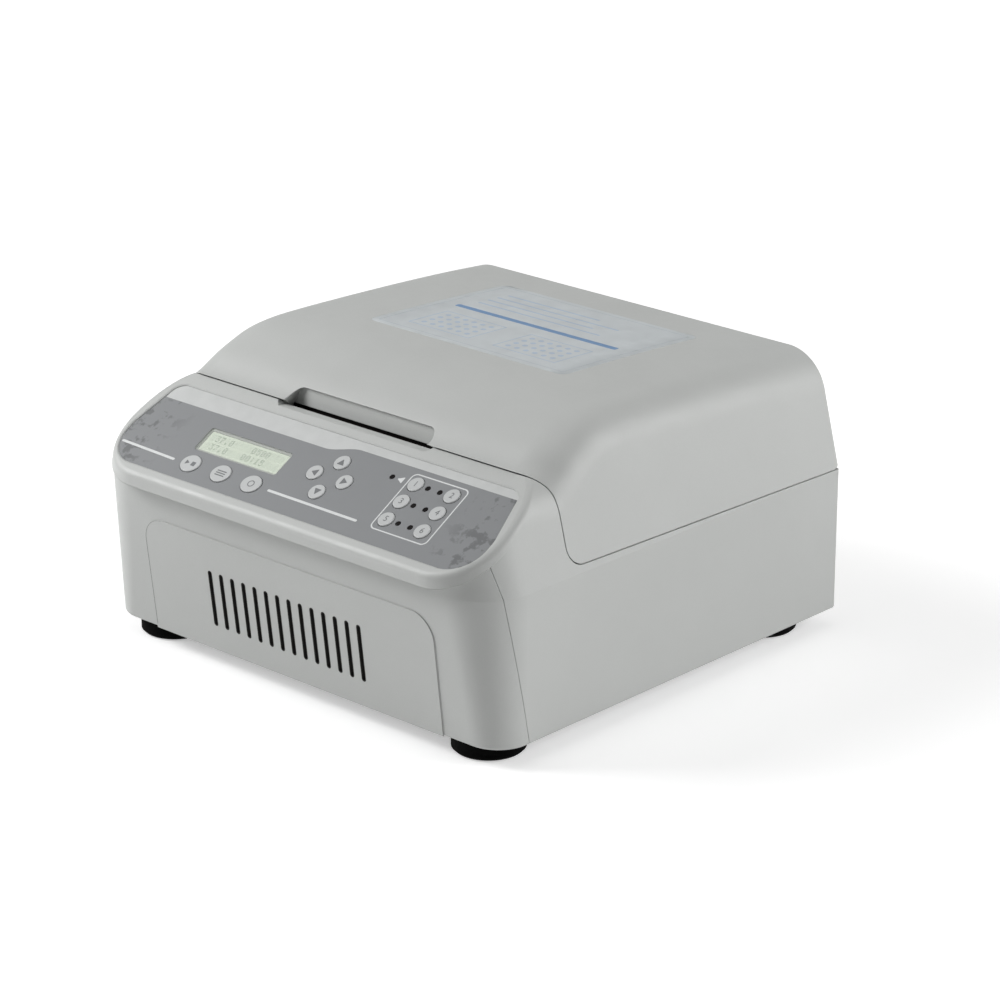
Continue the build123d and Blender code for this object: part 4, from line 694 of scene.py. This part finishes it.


# Painted shade: a dark printed strip along the left and top-left edge of the raised front, thinning round
# the corner, stands for a shaded step wall; there is no groove.
half, top, radius, rise = PAD
path = [(-half, 2.4, SHADE_LINE_W), (-half, top - radius, SHADE_LINE_W)]
for k in range(1, SHADE_LINE_STEPS + 1):
    turn = pi - pi / 2 * k / SHADE_LINE_STEPS
    path.append((radius * (1 + cos(turn)) - half, top - radius + radius * sin(turn),
                 SHADE_LINE_W - SHADE_LINE_THINS * k))
bm = bmesh.new()
edges = []
for index, (u, v, width) in enumerate(path):
    before, after = path[max(0, index - 1)], path[min(len(path) - 1, index + 1)]
    inward = Vector((after[1] - before[1], before[0] - after[0])).normalized()
    section = [(SHADE_LINE_GAP, rise - 0.1), (SHADE_LINE_GAP, rise + 0.03),
               (SHADE_LINE_GAP + width, rise + 0.03), (SHADE_LINE_GAP + width, rise - 0.1)]
    edges.append([on_front(u + inward.x * step, v + inward.y * step, level) for step, level in section])
add_band(bm, list(zip(*edges)), False)
finish_mesh(bm, "front_step_shade_line", painted_step_shade, "base")

SLOT_U, SLOT_V, SLOT_W, SLOT_H = -2.6, 32.5, 2.4, 33.0
SLOT_PITCH, SLOT_COUNT = 8.75, 14
RIM = [(0.4, rise + 0.01), (0.4, rise + 0.04), (-0.12, rise + 0.04), (-0.12, -2.9),
       (-0.02, -2.9)]                # gap from the slot's outline, and level
bm = bmesh.new()
for i in range(SLOT_COUNT):
    u = SLOT_U + (i - (SLOT_COUNT - 1) / 2) * SLOT_PITCH
    lines = []
    for gap, w in RIM:
        points = rounded_box_points(u, SLOT_V, SLOT_W + 2 * gap, SLOT_H + 2 * gap,
                                    SLOT_W / 2 + gap - 0.01, 6)
        lines.append([on_front(pu, pv, w) for pu, pv in points])
    add_band(bm, lines)
finish_mesh(bm, "vent_rims", rim_rubber, "base")

# Painted shade: a near-black block in the dark foam colour, set in the slit under the lid's front so that it
# shows as the slit's shadow; it is no real buffer.
SLOT_SHADE_X, SLOT_SHADE_Y, SLOT_SHADE_Z = (-56.4, 56.4), (-71.9, -71.23), (130.6, 140.66)
bm = bmesh.new()
corners = [bm.verts.new(Vector((x, y, z)) * MM) for x in SLOT_SHADE_X for y in SLOT_SHADE_Y for z in SLOT_SHADE_Z]
for face in ((0, 1, 3, 2), (4, 6, 7, 5), (0, 4, 5, 1), (2, 3, 7, 6), (0, 2, 6, 4), (1, 5, 7, 3)):
    bm.faces.new([corners[i] for i in face])
finish_mesh(bm, "slot_shade_block", filter_foam, "lid")

# ---------------------------------------------------------------- floor, light and camera
FLOOR_GLOW = 0.42                    # the floor's own light near the object; white is 1
GLOW_REACH = (0.8, 2.6)              # distances from the middle between which it rises to white
LIGHT_TARGET = Vector((0.0, 0.0, 0.09))
CAMERA_PLACE = (1.2990, -1.3734, 0.7808)
CAMERA_DOWN = 20.405                 # degrees below level
CAMERA_TURN = 42.762                 # degrees to the object's right


def background_rays(tree, others):
    """1 for rays of the camera and of one other kind, which see the plain background."""
    path = tree.nodes.new("ShaderNodeLightPath")
    seen = tree.nodes.new("ShaderNodeMath")
    seen.operation = "MAXIMUM"
    tree.links.new(path.outputs["Is Camera Ray"], seen.inputs[0])
    tree.links.new(path.outputs[others], seen.inputs[1])
    return seen.outputs[0]


def mesh_plane(name, size, z):
    mesh = bpy.data.meshes.new(name)
    corners = [(u, v, z) for u, v in box_points(0, 0, size, size)]
    mesh.from_pydata(corners, [], [(0, 1, 2, 3)])
    obj = bpy.data.objects.new(name, mesh)
    bpy.context.scene.collection.objects.link(obj)
    return obj


def floor_material():
    """Pale floor that keeps shadows; camera and reflections see its own light, more of it far away."""
    material = bpy.data.materials.new("floor")
    material.use_nodes = True
    tree = material.node_tree
    shader = tree.nodes["Principled BSDF"]
    shader.inputs["Base Color"].default_value = (0.86, 0.86, 0.86, 1)
    shader.inputs["Roughness"].default_value = 0.9
    shader.inputs["Specular IOR Level"].default_value = 0.1
    glow = tree.nodes.new("ShaderNodeEmission")
    glow.inputs["Color"].default_value = (1, 1, 1, 1)
    reach = tree.nodes.new("ShaderNodeVectorMath")
    reach.operation = "LENGTH"
    tree.links.new(tree.nodes.new("ShaderNodeNewGeometry").outputs["Position"], reach.inputs[0])
    spread = tree.nodes.new("ShaderNodeMapRange")
    spread.inputs["From Min"].default_value = GLOW_REACH[0]
    spread.inputs["From Max"].default_value = GLOW_REACH[1]
    spread.inputs["To Min"].default_value = FLOOR_GLOW
    spread.inputs["To Max"].default_value = 1.0
    tree.links.new(reach.outputs["Value"], spread.inputs["Value"])
    level = tree.nodes.new("ShaderNodeMath")
    level.operation = "MULTIPLY"
    tree.links.new(spread.outputs["Result"], level.inputs[1])
    tree.links.new(background_rays(tree, "Is Glossy Ray"), level.inputs[0])
    tree.links.new(level.outputs[0], glow.inputs["Strength"])
    both = tree.nodes.new("ShaderNodeAddShader")
    tree.links.new(shader.outputs[0], both.inputs[0])
    tree.links.new(glow.outputs[0], both.inputs[1])
    tree.links.new(both.outputs[0], tree.nodes["Material Output"].inputs["Surface"])
    return material


def area_light(name, place, size, power):
    """A square softbox aimed at the middle of the object."""
    data = bpy.data.lights.new(name, "AREA")
    data.shape = "RECTANGLE"
    data.size = data.size_y = size
    data.energy = power
    light = bpy.data.objects.new(name, data)
    light.location = place
    light.rotation_euler = (LIGHT_TARGET - Vector(place)).to_track_quat("-Z", "Y").to_euler()
    bpy.context.scene.collection.objects.link(light)


def white_world(strength):
    """Even light; the camera and glass see plain white."""
    world = bpy.data.worlds.new("studio")
    bpy.context.scene.world = world
    world.use_nodes = True
    tree = world.node_tree
    ambient = tree.nodes["Background"]
    ambient.inputs["Color"].default_value = (1, 1, 1, 1)
    ambient.inputs["Strength"].default_value = strength
    plain = tree.nodes.new("ShaderNodeBackground")
    plain.inputs["Color"].default_value = (1, 1, 1, 1)
    plain.inputs["Strength"].default_value = 1.0
    mix = tree.nodes.new("ShaderNodeMixShader")
    tree.links.new(background_rays(tree, "Is Transmission Ray"), mix.inputs[0])
    tree.links.new(ambient.outputs[0], mix.inputs[1])
    tree.links.new(plain.outputs[0], mix.inputs[2])
    tree.links.new(mix.outputs[0], tree.nodes["World Output"].inputs["Surface"])


floor = mesh_plane("studio_floor", 40.0, -0.0002)
floor.data.materials.append(floor_material())
white_world(0.10)
area_light("left_softbox", (-1.5, -1.0, 1.35), 1.2, 41)
area_light("right_softbox", (1.9, 1.3, 1.1), 1.4, 38)
area_light("top_softbox", (0.1, 0.2, 2.2), 1.6, 7)

camera_data = bpy.data.cameras.new("camera")
camera_data.sensor_width = 36.0
camera_data.lens = 130.25
camera_data.clip_end = 100.0
camera = bpy.data.objects.new("camera", camera_data)
camera.location = CAMERA_PLACE
camera.rotation_euler = (radians(90 - CAMERA_DOWN), 0.0, radians(CAMERA_TURN))
bpy.context.scene.collection.objects.link(camera)
bpy.context.scene.camera = camera
bpy.context.scene.view_settings.view_transform = "Standard"
